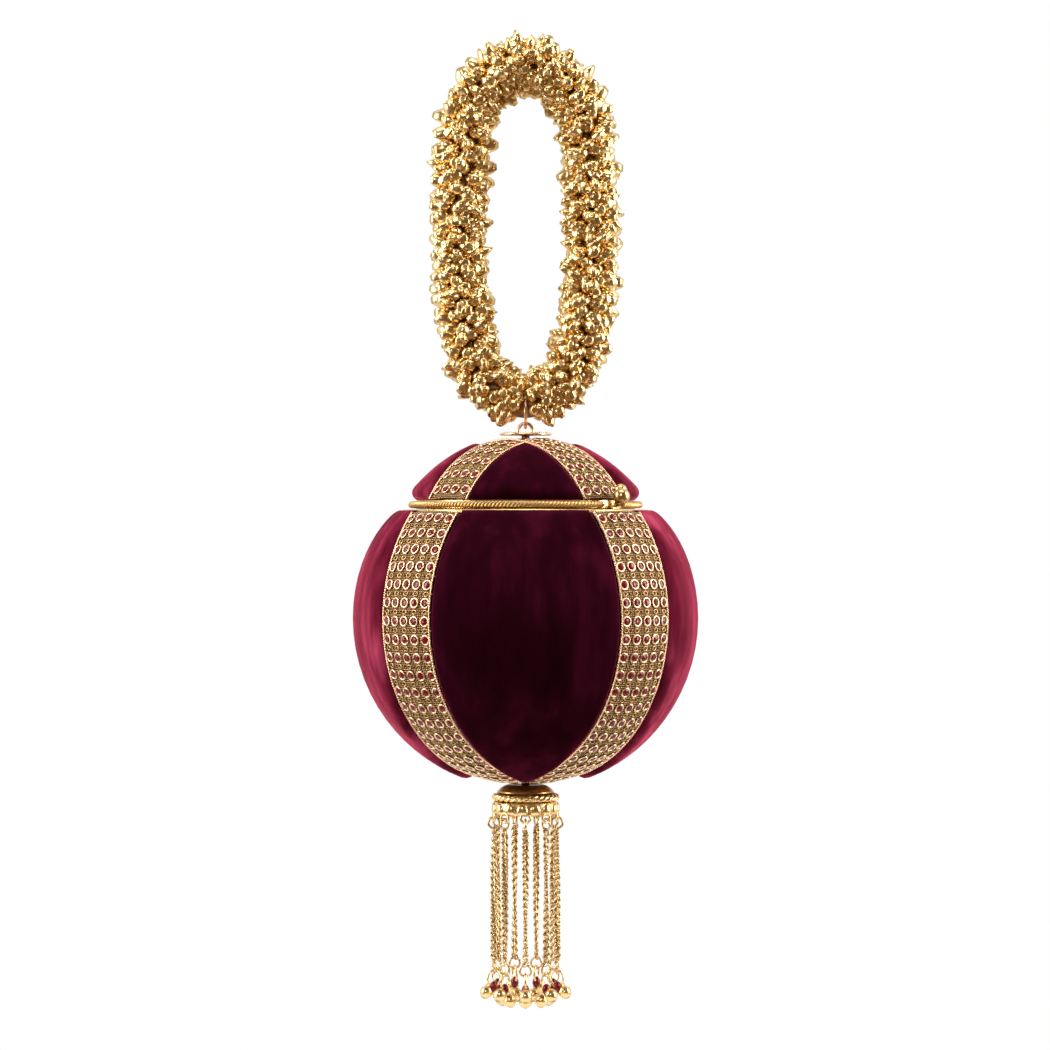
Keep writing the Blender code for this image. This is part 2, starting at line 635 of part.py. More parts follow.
def build_covers(half, cover_radius, ribbon_width, level, carrier, rims, below):
    """Ribbons and panels over one half, from the ribbons' and the panels' angle at the rim."""
    ribbon_rim, panel_rim = rims
    outer_radius = cover_radius + RIBBON_THICKNESS
    butt = math.asin((ribbon_width / 2 + SIDE_GAP) / cover_radius)
    tip = panel_tip_angle(cover_radius, ribbon_width)
    if below:
        ends = (ribbon_rim, 2 * math.pi - ribbon_rim)
        arm = (ribbon_rim, math.pi - butt)
        pad = (panel_rim, math.pi - tip)
    else:
        ends = (-ribbon_rim, ribbon_rim)
        arm = (butt, ribbon_rim)
        pad = (tip, panel_rim)
    long_steps = round(abs(ends[1] - ends[0]) / COVER_STEP)
    arm_steps = round(abs(arm[1] - arm[0]) / COVER_STEP)
    pole = -outer_radius if below else outer_radius
    long_band = ribbon(cover_radius, ribbon_width, *ends, long_steps, pole)
    add_piece(f"{half}_ribbon_across", long_band, RIBBON, level, HINGE_AZIMUTH, carrier)
    short_band = ribbon(cover_radius, ribbon_width, *arm, arm_steps)
    for side, azimuth in (("left", math.radians(225)), ("right", math.radians(45))):
        add_piece(f"{half}_ribbon_{side}", short_band, RIBBON, level, azimuth, carrier)
    rows = round(abs(pad[1] - pad[0]) / COVER_STEP)
    panel = padded_panel(cover_radius, ribbon_width, *pad, PANEL_COLUMNS, rows)
    for number, side in enumerate(("front", "right", "back", "left")):
        azimuth = (number - 1) * math.pi / 2
        add_piece(f"{half}_panel_{side}", panel, VELVET, level, azimuth, carrier)


def build_lid(ring_pivot):
    lid = pivot("lid_pivot", (0, 0, LID_PIVOT), ring_pivot)
    add_piece("staple_plate", staple_plate(), GOLD, PLATE_TOP, carrier=lid)
    shell_radius = LID_COVER_RADIUS - COVER_GAP

    def hole_angle(radius):
        return math.asin(STUD_HOLE_RADIUS / math.cos(math.pi / SHELL_SEGMENTS) / radius)

    def rim_angle(radius):
        return math.acos(LID_MOUTH_HEIGHT / radius)

    dome("lid_shell", shell_radius, SHELL_THICKNESS, hole_angle, rim_angle, 4, CARD, LID_CENTRE, lid)
    lining_radius = shell_radius - SHELL_THICKNESS - CLEARANCE
    dome("lid_lining", lining_radius, LINING_THICKNESS, hole_angle, rim_angle, 4, LINING,
         LID_CENTRE, lid)
    nut("lid_nut", LID_CENTRE + lining_radius - LINING_THICKNESS - NUT_STANDOFF - NUT_HEIGHT, lid)
    ribbon_edge = math.sqrt(LID_COVER_RADIUS ** 2 - (LID_RIBBON_WIDTH / 2) ** 2)
    build_covers(
        "lid", LID_COVER_RADIUS, LID_RIBBON_WIDTH, LID_CENTRE, lid,
        (rim_angle(ribbon_edge), rim_angle(LID_COVER_RADIUS)), below=False)
    outline = [
        (LID_FRAME_RADIUS, LID_FRAME_HEIGHT), (LID_FRAME_RADIUS, 0), (FRAME_RADIUS_INSIDE, 0),
        (FRAME_RADIUS_INSIDE, FRAME_WALL), (LID_FRAME_RADIUS - FRAME_WALL, FRAME_WALL),
        (LID_FRAME_RADIUS - FRAME_WALL, LID_FRAME_HEIGHT)]
    web_from = LID_FRAME_RADIUS - FRAME_WALL / 2
    web_to = HINGE_RADIUS - KNUCKLE_RADIUS / 2
    frame = frame_ring(
        outline, LID_FRAME_BASE, [(0, MIDDLE_KNUCKLE_LENGTH)],
        (web_to - web_from, FRAME_WALL), ((web_to + web_from) / 2, HINGE_LEVEL))
    add_piece("lid_frame", frame, BRASS, carrier=lid)
    ball_foot = LID_FRAME_BASE + CLEARANCE
    ball_mesh = clasp(
        LID_FRAME_RADIUS + CLEARANCE + CLASP_PAD_MARGIN, ball_foot, LID_BALL_AZIMUTH,
        LID_BALL_RADIUS, LID_BALL_HEIGHT)
    add_piece("lid_clasp_ball", ball_mesh, BRASS, carrier=lid)
    cord_radius = LID_FRAME_RADIUS + CLEARANCE + SEAM_CORD_RADIUS
    at_hinge = CORD_GAP_AT_HINGE / cord_radius
    at_clasp = CORD_GAP_AT_CLASP / cord_radius
    clasp_azimuth = (BODY_BALL_AZIMUTH + LID_BALL_AZIMUTH) / 2
    seam_cord("seam_cord_right", clasp_azimuth + at_clasp, HINGE_AZIMUTH - at_hinge, lid)
    seam_cord(
        "seam_cord_left", HINGE_AZIMUTH + at_hinge, clasp_azimuth - at_clasp + 2 * math.pi, lid)
    return lid


def build_body(lid):
    body = pivot("body_hinge", hinge_axis_point(0), lid)
    shell_radius = BODY_COVER_RADIUS - COVER_GAP
    rim = BODY_SHELL_RIM - BODY_CENTRE

    def hole_angle(radius):
        hole = STUD_HOLE_RADIUS / math.cos(math.pi / SHELL_SEGMENTS)
        return math.pi - math.asin(hole / radius)

    def rim_angle(radius):
        return math.acos(rim / radius)

    dome("body_shell", shell_radius, SHELL_THICKNESS, rim_angle, hole_angle, 8, CARD,
         BODY_CENTRE, body)
    lining_radius = shell_radius - SHELL_THICKNESS - CLEARANCE
    dome("body_lining", lining_radius, LINING_THICKNESS, rim_angle, hole_angle, 8, LINING,
         BODY_CENTRE, body)
    nut("body_nut", BODY_CENTRE - lining_radius + LINING_THICKNESS + NUT_STANDOFF, body)
    cover_rim = math.acos(BODY_MOUTH_HEIGHT / (BODY_COVER_RADIUS + PANEL_THICKNESS))
    build_covers(
        "body", BODY_COVER_RADIUS, BODY_RIBBON_WIDTH, BODY_CENTRE, body,
        (cover_rim, cover_rim), below=True)
    mouth = math.sqrt((lining_radius - LINING_THICKNESS) ** 2 - rim ** 2)
    skirt = mouth * math.cos(math.pi / SHELL_SEGMENTS) - CLEARANCE
    outline = [
        (BODY_FRAME_RADIUS, 0), (BODY_FRAME_RADIUS, -FRAME_WALL), (skirt, -FRAME_WALL),
        (skirt, -BODY_FRAME_SKIRT), (skirt - FRAME_WALL, -BODY_FRAME_SKIRT),
        (skirt - FRAME_WALL, -FRAME_WALL), (FRAME_RADIUS_INSIDE, -FRAME_WALL),
        (FRAME_RADIUS_INSIDE, 0)]
    apart = MIDDLE_KNUCKLE_LENGTH / 2 + CLEARANCE + OUTER_KNUCKLE_LENGTH / 2
    web_foot = BODY_FRAME_TOP - FRAME_WALL / 2
    frame = frame_ring(
        outline, BODY_FRAME_TOP, [(-apart, OUTER_KNUCKLE_LENGTH), (apart, OUTER_KNUCKLE_LENGTH)],
        (KNUCKLE_RADIUS, HINGE_LEVEL - web_foot),
        (BODY_FRAME_RADIUS - KNUCKLE_RADIUS / 2, (HINGE_LEVEL + web_foot) / 2))
    add_piece("body_frame", frame, BRASS, carrier=body)
    reach = apart + OUTER_KNUCKLE_LENGTH / 2 + CLEARANCE
    ends = [hinge_axis_point(side * reach) for side in (-1, 1)]
    along = (ends[1] - ends[0]).normalized() * HINGE_PIN_HEAD_HEIGHT
    pin = fused([
        rod(HINGE_PIN_RADIUS, ends[0] - along, ends[1] + along),
        rod(HINGE_PIN_HEAD, ends[0], ends[0] - along), rod(HINGE_PIN_HEAD, ends[1], ends[1] + along)])
    add_piece("hinge_pin", pin, BRASS, carrier=body)
    foot_radius = BODY_FRAME_RADIUS - CLASP_PAD_MARGIN
    ball_mesh = clasp(
        foot_radius, BODY_FRAME_TOP + CLEARANCE, BODY_BALL_AZIMUTH, BODY_BALL_RADIUS,
        BODY_BALL_HEIGHT)
    add_piece("body_clasp_ball", ball_mesh, BRASS, carrier=body)
    return body


def build_tassel(body):
    turned("tassel_cap", tassel_cap(), BRASS, CAP_TOP, 20, body)
    twist_radius = CAP_WALL_RADIUS + CLEARANCE + TWIST_RING_WIRE
    twist = wire_ring(twist_radius, TWIST_RING_WIRE, (0, 0, 0), (0, 0, 1), 20)
    add_piece("tassel_twist_ring", twist, GOLD, TWIST_RING_LEVEL, carrier=body)
    add_piece("tassel_scallop_ring", scallop_ring(), GOLD, SCALLOP_BASE, carrier=body)
    chain_mesh, drop_mesh = chain(), drop()
    for number, azimuth in enumerate(strand_azimuths(), start=1):
        outward = Matrix.Rotation(azimuth, 3, "Z") @ Vector((EYELET_PITCH_RADIUS, 0, 0))
        place = outward + Vector((0, 0, STRAND_PIVOT))
        strand = pivot(f"strand_{number}_hinge", place, body)
        for kind, mesh in (("chain", chain_mesh), ("drop", drop_mesh)):
            piece = add_piece(f"{kind}_{number}", mesh, GOLD, 0.0, azimuth)
            piece.parent = strand
            piece.location = (0, 0, 0)


clear_scene()
COLLECTION = bpy.data.collections.new("velvet_round_handbag")
bpy.context.scene.collection.children.link(COLLECTION)
VELVET = make_material("velvet", (0.09, 0.008, 0.02), 0.9)
RIBBON = make_material("jewelled_ribbon", (0.55, 0.3, 0.12), 0.4, 0.6)
GOLD = make_material("gold", (0.78, 0.52, 0.2), 0.3, 1.0)
BRASS = make_material("brass", (0.7, 0.45, 0.17), 0.25, 1.0)
CARD = make_material("moulded_card", (0.16, 0.09, 0.06), 0.8)
LINING = make_material("lining", (0.2, 0.02, 0.04), 0.6)
build_tassel(build_body(build_lid(build_wrist_loop())))
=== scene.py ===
# %% [markdown]
# A velvet evening bag, dressed over its CAD frame.
# The CAD model gives every size and every joint. This file gives the look: velvet, metal,
# stones and bells. Each step says what the real thing is and why it is made this way.

import json
import random
from math import acos, asin, atan2, cos, exp, pi, radians, sin, sqrt

import bmesh
import bpy
from mathutils import Matrix, Vector


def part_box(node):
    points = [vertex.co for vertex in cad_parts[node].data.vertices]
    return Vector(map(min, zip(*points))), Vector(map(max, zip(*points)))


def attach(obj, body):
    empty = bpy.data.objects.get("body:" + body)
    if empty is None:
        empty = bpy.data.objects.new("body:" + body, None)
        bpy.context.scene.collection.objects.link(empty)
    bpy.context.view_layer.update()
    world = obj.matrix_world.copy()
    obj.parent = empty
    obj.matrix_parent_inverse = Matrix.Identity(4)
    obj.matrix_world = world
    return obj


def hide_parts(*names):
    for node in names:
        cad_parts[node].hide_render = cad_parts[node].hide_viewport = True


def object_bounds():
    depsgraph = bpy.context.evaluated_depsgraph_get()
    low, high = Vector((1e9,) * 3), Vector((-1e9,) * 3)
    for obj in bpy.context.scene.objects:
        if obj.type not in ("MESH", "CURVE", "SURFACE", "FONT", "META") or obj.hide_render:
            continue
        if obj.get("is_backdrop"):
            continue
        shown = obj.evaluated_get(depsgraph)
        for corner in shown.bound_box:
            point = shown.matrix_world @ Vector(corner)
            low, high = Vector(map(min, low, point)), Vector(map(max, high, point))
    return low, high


MM = 0.001
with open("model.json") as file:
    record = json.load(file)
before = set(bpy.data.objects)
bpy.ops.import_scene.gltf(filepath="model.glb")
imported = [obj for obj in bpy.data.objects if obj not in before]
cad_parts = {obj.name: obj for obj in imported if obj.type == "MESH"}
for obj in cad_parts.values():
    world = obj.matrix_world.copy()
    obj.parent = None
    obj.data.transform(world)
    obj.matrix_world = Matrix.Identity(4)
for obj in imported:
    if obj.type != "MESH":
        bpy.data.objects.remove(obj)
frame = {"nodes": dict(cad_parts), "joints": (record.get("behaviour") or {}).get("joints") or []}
cad_low, cad_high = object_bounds()
print("CAD box", [round(value, 4) for value in (*cad_low, *cad_high)])

# %% [markdown]
# Every place is measured from the CAD pieces, so the look follows the frame. The ribbons lie
# on two balls, one under the lid's cloth and one under the body's. The top of a lid ribbon
# and the foot of a body ribbon give the centres of these balls.

# %% Measure the two balls and the joints
UP = Vector((0, 0, 1))
LID_COVER = 47.8 * MM  # radius of the ball that the lid's cloth is glued on
BODY_COVER = 61.3 * MM
RIBBON = 1.3 * MM
HINGE_AZIMUTH = radians(135)
lid_centre = Vector((0, 0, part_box("lid_ribbon_across")[1].z - LID_COVER - RIBBON))
body_centre = Vector((0, 0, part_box("body_ribbon_across")[0].z + BODY_COVER + RIBBON))
joints = {joint["name"]: Vector(joint["pos_m"]) for joint in frame["joints"]}
hinge_point = joints["bag_opening"]
print("ball centres", round(lid_centre.z, 4), round(body_centre.z, 4))

# %% [markdown]
# A near camera with a short lens would make the ball look swollen. So the camera stands far
# away with a long lens, level with the middle of the bag, as a catalogue camera does.

# %% Camera
EYE = (-0.0002, -1.25, -0.1624)
scene = bpy.context.scene
camera_data = bpy.data.cameras.new("camera")
camera_data.sensor_width = 36
camera_data.lens = 114.3
camera = bpy.data.objects.new("camera", camera_data)
camera.location = EYE
camera.rotation_euler = (pi / 2, 0, 0)
scene.collection.objects.link(camera)
scene.camera = camera
scene.view_settings.view_transform = "Standard"
print("camera at", EYE, "with a lens of", camera_data.lens, "mm")

# %% [markdown]
# Polished metal only looks like metal when it has bright and dark things to mirror. Four
# soft lamps give the brightest ones. They are wide, so their reflections have soft edges.

# %% Lamps
BAG_MIDDLE = Vector((0, 0, -0.17))
LAMPS = (  # name, place, width and height, power in watts
    ("lamp_left", (-0.95, -0.2, 0.1), (0.35, 1.0), 13),
    ("lamp_right", (0.98, -0.12, 0.1), (0.35, 1.0), 14),
    ("lamp_front", (-0.35, -1.5, 0.45), (0.3, 0.3), 5),
    ("lamp_top", (0.0, -0.25, 0.85), (0.7, 0.4), 6))
for name, place, size, power in LAMPS:
    light = bpy.data.lights.new(name, "AREA")
    light.shape = "RECTANGLE"
    light.size, light.size_y = size
    light.energy = power
    holder = bpy.data.objects.new(name, light)
    holder.location = place
    holder.rotation_euler = (BAG_MIDDLE - Vector(place)).to_track_quat("-Z", "Y").to_euler()
    scene.collection.objects.link(holder)
print("lamps", len(LAMPS))

# %% [markdown]
# The room and every finish are made of shader nodes. Small helpers add a node with its
# values set, a colour ramp, and the one Principled shader of a finish. The patterns read
# Object coordinates or a piece's own UV map, so they stay in place when a piece moves.

# %% Helpers for nodes and finishes
def add_node(owner, kind, **sockets):
    node = owner.node_tree.nodes.new("ShaderNode" + kind)
    for socket, value in sockets.items():
        node.inputs[socket.replace("_", " ")].default_value = value
    return node


def colour_ramp(owner, source, stops):
    node = add_node(owner, "ValToRGB")
    first, last = node.color_ramp.elements
    first.position, first.color = stops[0][0], (*stops[0][1], 1)
    last.position, last.color = stops[-1][0], (*stops[-1][1], 1)
    for place, colour in stops[1:-1]:
        node.color_ramp.elements.new(place).color = (*colour, 1)
    owner.node_tree.links.new(source, node.inputs[0])
    return node


def shader_of(material):
    return material.node_tree.nodes["Principled BSDF"]


def finish_of(name, colour, roughness, metallic=0.0, **sockets):
    material = bpy.data.materials.new(name)
    material.use_nodes = True
    inputs = shader_of(material).inputs
    inputs["Base Color"].default_value = (*colour, 1)
    inputs["Roughness"].default_value = roughness
    inputs["Metallic"].default_value = metallic
    for socket, value in sockets.items():
        inputs[socket.replace("_", " ")].default_value = value
    return material

# %% [markdown]
# One even white room would light the velvet so much that it turns grey. So the camera, the
# metal and the glass see the white backdrop of the photograph, while all other light comes
# from a dim room that is dark below and pale above.

# %% The room
ROOM_STRENGTH = 0.4
world = bpy.data.worlds.new("studio")
scene.world = world
world.use_nodes = True
world.node_tree.nodes.clear()
rays = add_node(world, "LightPath")
coords = add_node(world, "TexCoord")
split = add_node(world, "SeparateXYZ")
height = add_node(world, "MapRange", From_Min=-1.0)
white = add_node(world, "Background", Color=(1, 1, 1, 1), Strength=1.0)
room = add_node(world, "Background", Strength=ROOM_STRENGTH)
mirrored = add_node(world, "Math")
seen = add_node(world, "Math")
mirrored.operation = seen.operation = "MAXIMUM"
mix = add_node(world, "MixShader")
out = add_node(world, "OutputWorld")
shades = colour_ramp(
    world, height.outputs[0], [(0.3, (0.03, 0.018, 0.015)), (0.75, (1, 0.98, 0.95))])
for source, target in (
        (coords.outputs["Generated"], split.inputs[0]),
        (split.outputs["Z"], height.inputs["Value"]),
        (shades.outputs[0], room.inputs["Color"]),
        (rays.outputs["Is Glossy Ray"], mirrored.inputs[0]),
        (rays.outputs["Is Transmission Ray"], mirrored.inputs[1]),
        (rays.outputs["Is Camera Ray"], seen.inputs[0]),
        (mirrored.outputs[0], seen.inputs[1]),
        (seen.outputs[0], mix.inputs[0]),
        (room.outputs[0], mix.inputs[1]),
        (white.outputs[0], mix.inputs[2]),
        (mix.outputs[0], out.inputs["Surface"])):
    world.node_tree.links.new(source, target)
print("room nodes", len(world.node_tree.nodes))

# %% [markdown]
# The dark things that the metal mirrors come from a brown cloth hung round the front of the
# studio, which only reflections see. Black cards would do too, but brown warms the gold. A
# small pale floor lies out of the picture, well below the tassel.

# %% Floor and dark cloth
FLOOR_DROP = 58 * MM
FLOOR_RADIUS = 0.2
CLOTH_RADIUS = 2.4
CLOTH_EDGE = 0.3  # the cloth ends this far behind the bag


def mesh_of(form, name="form"):
    mesh = bpy.data.meshes.new(name)
    form.to_mesh(mesh)
    form.free()
    return mesh


def staged(name, form, finish):
    mesh = mesh_of(form, name)
    mesh.materials.append(finish)
    thing = bpy.data.objects.new(name, mesh)
    scene.collection.objects.link(thing)
    thing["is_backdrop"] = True
    return thing


form = bmesh.new()
bmesh.ops.create_circle(form, cap_ends=True, segments=64, radius=FLOOR_RADIUS)
bmesh.ops.translate(form, verts=form.verts, vec=(0, 0, cad_low.z - FLOOR_DROP))
staged("floor", form, finish_of("pale_floor", (0.9, 0.9, 0.9), 0.9))

form = bmesh.new()
bmesh.ops.create_uvsphere(form, u_segments=32, v_segments=16, radius=CLOTH_RADIUS)
behind = [vertex for vertex in form.verts if vertex.co.y > CLOTH_EDGE]
bmesh.ops.delete(form, geom=behind, context="VERTS")
cloth = staged("dark_cloth", form, finish_of("brown_cloth", (0.42, 0.26, 0.14), 0.9))
cloth.visible_camera = cloth.visible_diffuse = cloth.visible_shadow = False
print("floor at", round(cad_low.z - FLOOR_DROP, 3))

# %% [markdown]
# Velvet is a pile of short upright hairs. Seen straight on, light falls between them and
# the cloth is nearly black. Seen from the side, their flanks glow. Real hairs would be far
# too many, so a sheen layer does this. Soft noise stands for the places where a hand has
# pressed the pile down. The side panels get their own velvet with a far lighter base colour:
# painted light, for the glow that the side lamps raise on them.

# %% Velvet
def bump_from(material, source, distance, strength=1.0):
    node = add_node(material, "Bump", Strength=strength, Distance=distance)
    material.node_tree.links.new(source, node.inputs["Height"])
    material.node_tree.links.new(node.outputs[0], shader_of(material).inputs["Normal"])


def velvet_finish(name, dark, middle_shade, light, tint, spread_of_sheen):
    material = finish_of(
        name, middle_shade, 0.9, Sheen_Weight=1.0, Sheen_Roughness=spread_of_sheen,
        Sheen_Tint=(*tint, 1), Specular_IOR_Level=0.0)
    source = add_node(material, "TexCoord")
    stretch = add_node(material, "Mapping", Scale=(1.0, 1.0, 0.22))
    pressed = add_node(material, "TexNoise", Scale=95.0, Detail=3.0, Roughness=0.55)
    pile = add_node(material, "TexNoise", Scale=2600.0, Detail=2.0)
    joins = material.node_tree.links
    joins.new(source.outputs["Object"], stretch.inputs["Vector"])
    joins.new(stretch.outputs[0], pressed.inputs["Vector"])
    joins.new(source.outputs["Object"], pile.inputs["Vector"])
    shades = colour_ramp(
        material, pressed.outputs["Fac"], [(0.32, dark), (0.52, middle_shade), (0.75, light)])
    joins.new(shades.outputs[0], shader_of(material).inputs["Base Color"])
    bump_from(material, pile.outputs["Fac"], 0.12 * MM, 0.5)
    return material


velvet = velvet_finish(
    "velvet", (0.014, 0.001, 0.0035), (0.022, 0.0015, 0.0055), (0.05, 0.0035, 0.012),
    (0.85, 0.1, 0.17), 0.25)
# Painted light: the side panels' base colours are made much lighter to stand for the glow they
# catch from the side lamps.
painted_light_side_velvet = velvet_finish(
    "painted_light_side_velvet", (0.05, 0.002, 0.008), (0.15, 0.01, 0.028), (0.42, 0.05, 0.1),
    (0.75, 0.12, 0.19), 0.36)
print("velvets", velvet.name, painted_light_side_velvet.name)

# %% [markdown]
# The metals differ in colour and in polish: bright gold on the bells, paler gold on the
# stone settings, and old bronze on the tassel's cap. Fine noise in the roughness keeps them
# from looking like chrome. A picture of worn metal would need a file and would show seams.

# %% Metals
def metal(name, colour, roughness, dents=0.0):
    material = finish_of(name, colour, roughness, 1.0)
    source = add_node(material, "TexCoord")
    noise = add_node(material, "TexNoise", Scale=420.0, Detail=2.0)
    level = add_node(
        material, "MapRange", To_Min=roughness * 0.75, To_Max=roughness * 1.35)
    joins = material.node_tree.links
    joins.new(source.outputs["Object"], noise.inputs["Vector"])
    joins.new(noise.outputs["Fac"], level.inputs["Value"])
    joins.new(level.outputs[0], shader_of(material).inputs["Roughness"])
    if dents:
        bump_from(material, noise.outputs["Fac"], dents, 0.6)
    return material


gold = metal("bell_gold", (0.82, 0.585, 0.27), 0.27)
pale_gold = metal("setting_gold", (0.84, 0.58, 0.36), 0.28)
chain_gold = metal("chain_gold", (0.66, 0.47, 0.24), 0.26)
thread_gold = metal("thread_gold", (0.55, 0.36, 0.15), 0.42)
brass = metal("frame_brass", (0.68, 0.45, 0.18), 0.25)
bronze = metal("cap_bronze", (0.42, 0.22, 0.07), 0.3, 0.2 * MM)
print("last metal", bronze.name)

# %% [markdown]
# The stones are small garnets: dark red glass with a clear glossy face. At this size a dark
# glossy finish looks the same as real glass and is quicker. The cord inside the loop, the
# lining and the moulded shells need no pattern of their own.

# %% Stones, cord and linings
garnet = finish_of("garnet", (0.16, 0.005, 0.008), 0.13, Specular_IOR_Level=0.3)
# The loop's cord is a brown gold so that where it shows between the bells it looks like the
# shaded gold in the gaps: partly the cord's colour, partly painted shade.
loop_cord = finish_of("loop_cord", (0.36, 0.2, 0.07), 0.5, 0.6)
satin = finish_of("lining_satin", (0.16, 0.012, 0.03), 0.42, Sheen_Weight=0.3)
card = finish_of("shell_card", (0.035, 0.006, 0.01), 0.9)
print("plain finishes", garnet.name, loop_cord.name, satin.name, card.name)

# %% [markdown]
# A ribbon's ground is gold thread woven over dark red. Threads of real wire would take far
# too many faces. The ribbon's UV map runs in millimetres along and across the band, so two
# sets of waves draw the warp and the weft.

# %% Woven ground
weave = finish_of("woven_ground", (0.5, 0.28, 0.1), 0.45, 0.75)
weave_uv = add_node(weave, "UVMap")
weave_uv.uv_map = "weave"
warp = add_node(weave, "TexWave", Scale=0.36, Distortion=0.6)
weft = add_node(weave, "TexWave", Scale=0.36, Distortion=0.6)
warp.bands_direction = "X"
weft.bands_direction = "Y"
both = add_node(weave, "Math")
both.operation = "MULTIPLY"
links = weave.node_tree.links
for number, wave in enumerate((warp, weft)):
    links.new(weave_uv.outputs[0], wave.inputs["Vector"])
    links.new(wave.outputs["Fac"], both.inputs[number])
threads = colour_ramp(weave, both.outputs[0], [
    (0.1, (0.08, 0.025, 0.01)), (0.35, (0.36, 0.2, 0.07)), (0.8, (0.8, 0.55, 0.25))])
links.new(threads.outputs[0], shader_of(weave).inputs["Base Color"])
bump_from(weave, both.outputs[0], 0.3 * MM)
print("finishes", len(bpy.data.materials))

# %% [markdown]
# All pieces end the same way: the mesh gets its finish, the object joins the scene at the
# origin, rides on its CAD body and stands for its CAD nodes. What repeats is made once and
# copied to many places, each place a 4x4 matrix, and all the copies become one mesh.

# %% Helpers that finish a piece
def add_piece(name, mesh, finish, body, nodes=(), smooth=True):
    mesh.polygons.foreach_set("use_smooth", [smooth] * len(mesh.polygons))
    mesh.materials.append(finish)
    piece = bpy.data.objects.new(name, mesh)
    scene.collection.objects.link(piece)
    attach(piece, body)
    if nodes:
        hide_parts(*nodes)
    return piece


def closed_mesh(form):
    """The mesh of a closed form, with its faces turned outwards."""
    bmesh.ops.recalc_face_normals(form, faces=form.faces)
    return mesh_of(form)


def joined(name, meshes):
    """One mesh of several, each used up."""
    form = bmesh.new()
    for mesh in meshes:
        form.from_mesh(mesh)
        bpy.data.meshes.remove(mesh)
    return mesh_of(form, name)


def scattered(name, unit, places):
    """One mesh with a copy of the unit at each place."""
    copies = []
    for matrix in places:
        copies.append(unit.copy())
        copies[-1].transform(matrix)
    return joined(name, copies)


def placed(centre, across, along, up, size=(1, 1, 1)):
    """The matrix that puts a unit at a centre with its X, Y and Z on three directions."""
    turn = Matrix((across, along, up)).transposed().to_4x4()
    return Matrix.Translation(centre) @ turn @ Matrix.Diagonal((*size, 1))


def upright(centre, direction, turn, size=1.0):
    """The matrix that stands a unit on a direction, turned round it by an angle."""
    across = Matrix.Rotation(turn, 3, direction) @ direction.orthogonal().normalized()
    return placed(centre, across, direction.cross(across), direction, (size, size, size))

# %% [markdown]
# The metal pieces are turned on a lathe, drawn as wire or cut from rod. Spinning an outline
# round the upright axis does the lathe's work, and one merged turn leaves no seam.

# %% Helpers for rings, rods and wires
def spun(form, steps):
    bmesh.ops.spin(
        form, geom=form.verts[:] + form.edges[:], cent=(0, 0, 0), axis=(0, 0, 1),
        angle=2 * pi, steps=steps, use_merge=True)
    return closed_mesh(form)


def ring(radius, wire, segments=24, sides=8):
    """A ring of round wire in the XY plane."""
    form = bmesh.new()
    bmesh.ops.create_circle(
        form, segments=sides, radius=wire,
        matrix=Matrix.Translation((radius, 0, 0)) @ Matrix.Rotation(pi / 2, 4, "X"))
    return spun(form, segments)


def turned(outline, level, segments=96):
    """A turned shape from its closed outline of (radius, height) points."""
    form = bmesh.new()
    corners = [form.verts.new((radius, 0, height + level)) for radius, height in outline]
    for index, corner in enumerate(corners):
        form.edges.new((corners[index - 1], corner))
    return spun(form, segments)


def rod(radius, start, end, segments=24):
    start, end = Vector(start), Vector(end)
    turn = UP.rotation_difference(end - start).to_matrix().to_4x4()
    form = bmesh.new()
    bmesh.ops.create_cone(
        form, cap_ends=True, segments=segments, radius1=radius, radius2=radius,
        depth=(end - start).length, matrix=Matrix.Translation((start + end) / 2) @ turn)
    return closed_mesh(form)


def ball(radius, centre, segments=32, rings=16):
    form = bmesh.new()
    bmesh.ops.create_uvsphere(
        form, u_segments=segments, v_segments=rings, radius=radius,
        matrix=Matrix.Translation(centre))
    return closed_mesh(form)


def wires(name, lines, radius, closed=False, sides=1):
    """Round wire along several lines of points, as a mesh."""
    curve = bpy.data.curves.new(name, "CURVE")
    curve.dimensions = "3D"
    curve.bevel_depth = radius
    curve.bevel_resolution = sides
    curve.use_fill_caps = not closed
    for points in lines:
        line = curve.splines.new("POLY")
        line.points.add(len(points) - 1)
        line.use_cyclic_u = closed
        for point, target in zip(line.points, points):
            point.co = (*target, 1)
    holder = bpy.data.objects.new(name, curve)
    scene.collection.objects.link(holder)
    mesh = bpy.data.meshes.new_from_object(
        holder.evaluated_get(bpy.context.evaluated_depsgraph_get()))
    bpy.data.objects.remove(holder)
    mesh.materials.clear()
    return mesh


def twisted(path, outward, offset, pitch, strands):
    """The lines of several strands that wind round a path of points."""
    lines = [[] for _ in range(strands)]
    travelled = 0.0
    for index, point in enumerate(path):
        before = path[max(index - 1, 0)]
        after = path[min(index + 1, len(path) - 1)]
        tangent = (after - before).normalized()
        side = tangent.cross(outward(point)).normalized()
        rise = side.cross(tangent)
        travelled += (point - before).length
        for number, line in enumerate(lines):
            turn = 2 * pi * (travelled / pitch + number / strands)
            line.append(point + offset * (cos(turn) * side + sin(turn) * rise))
    return lines

# %% [markdown]
# A velvet panel is cloth glued over thin wadding, and it swells between the two ribbons. A
# cloth simulation would pull it off the shell, so the pad is modelled: a grid is wrapped on
# the ball, and its rim rolls down like the edge of a cushion. At the mouth the lid's panels
# stand out further than at their top, and the body's panels lie flatter.

# %% One velvet panel
ROLL = 3.6 * MM  # width of the rolled rim
SIDE_GAP = 0.35 * MM
RIM_HEIGHT = 0.25 * MM
BACK_HEIGHT = 0.05 * MM
WRINKLE = 0.045 * MM
MOUTH_REACH = 11 * MM  # how far from the mouth its own swell is felt


def backed(form, inward):
    """Gives a sheet its back: the same faces again, each point moved inward."""
    for item in bmesh.ops.extrude_face_region(form, geom=form.faces[:])["geom"]:
        if isinstance(item, bmesh.types.BMVert):
            item.co = inward(item.co)


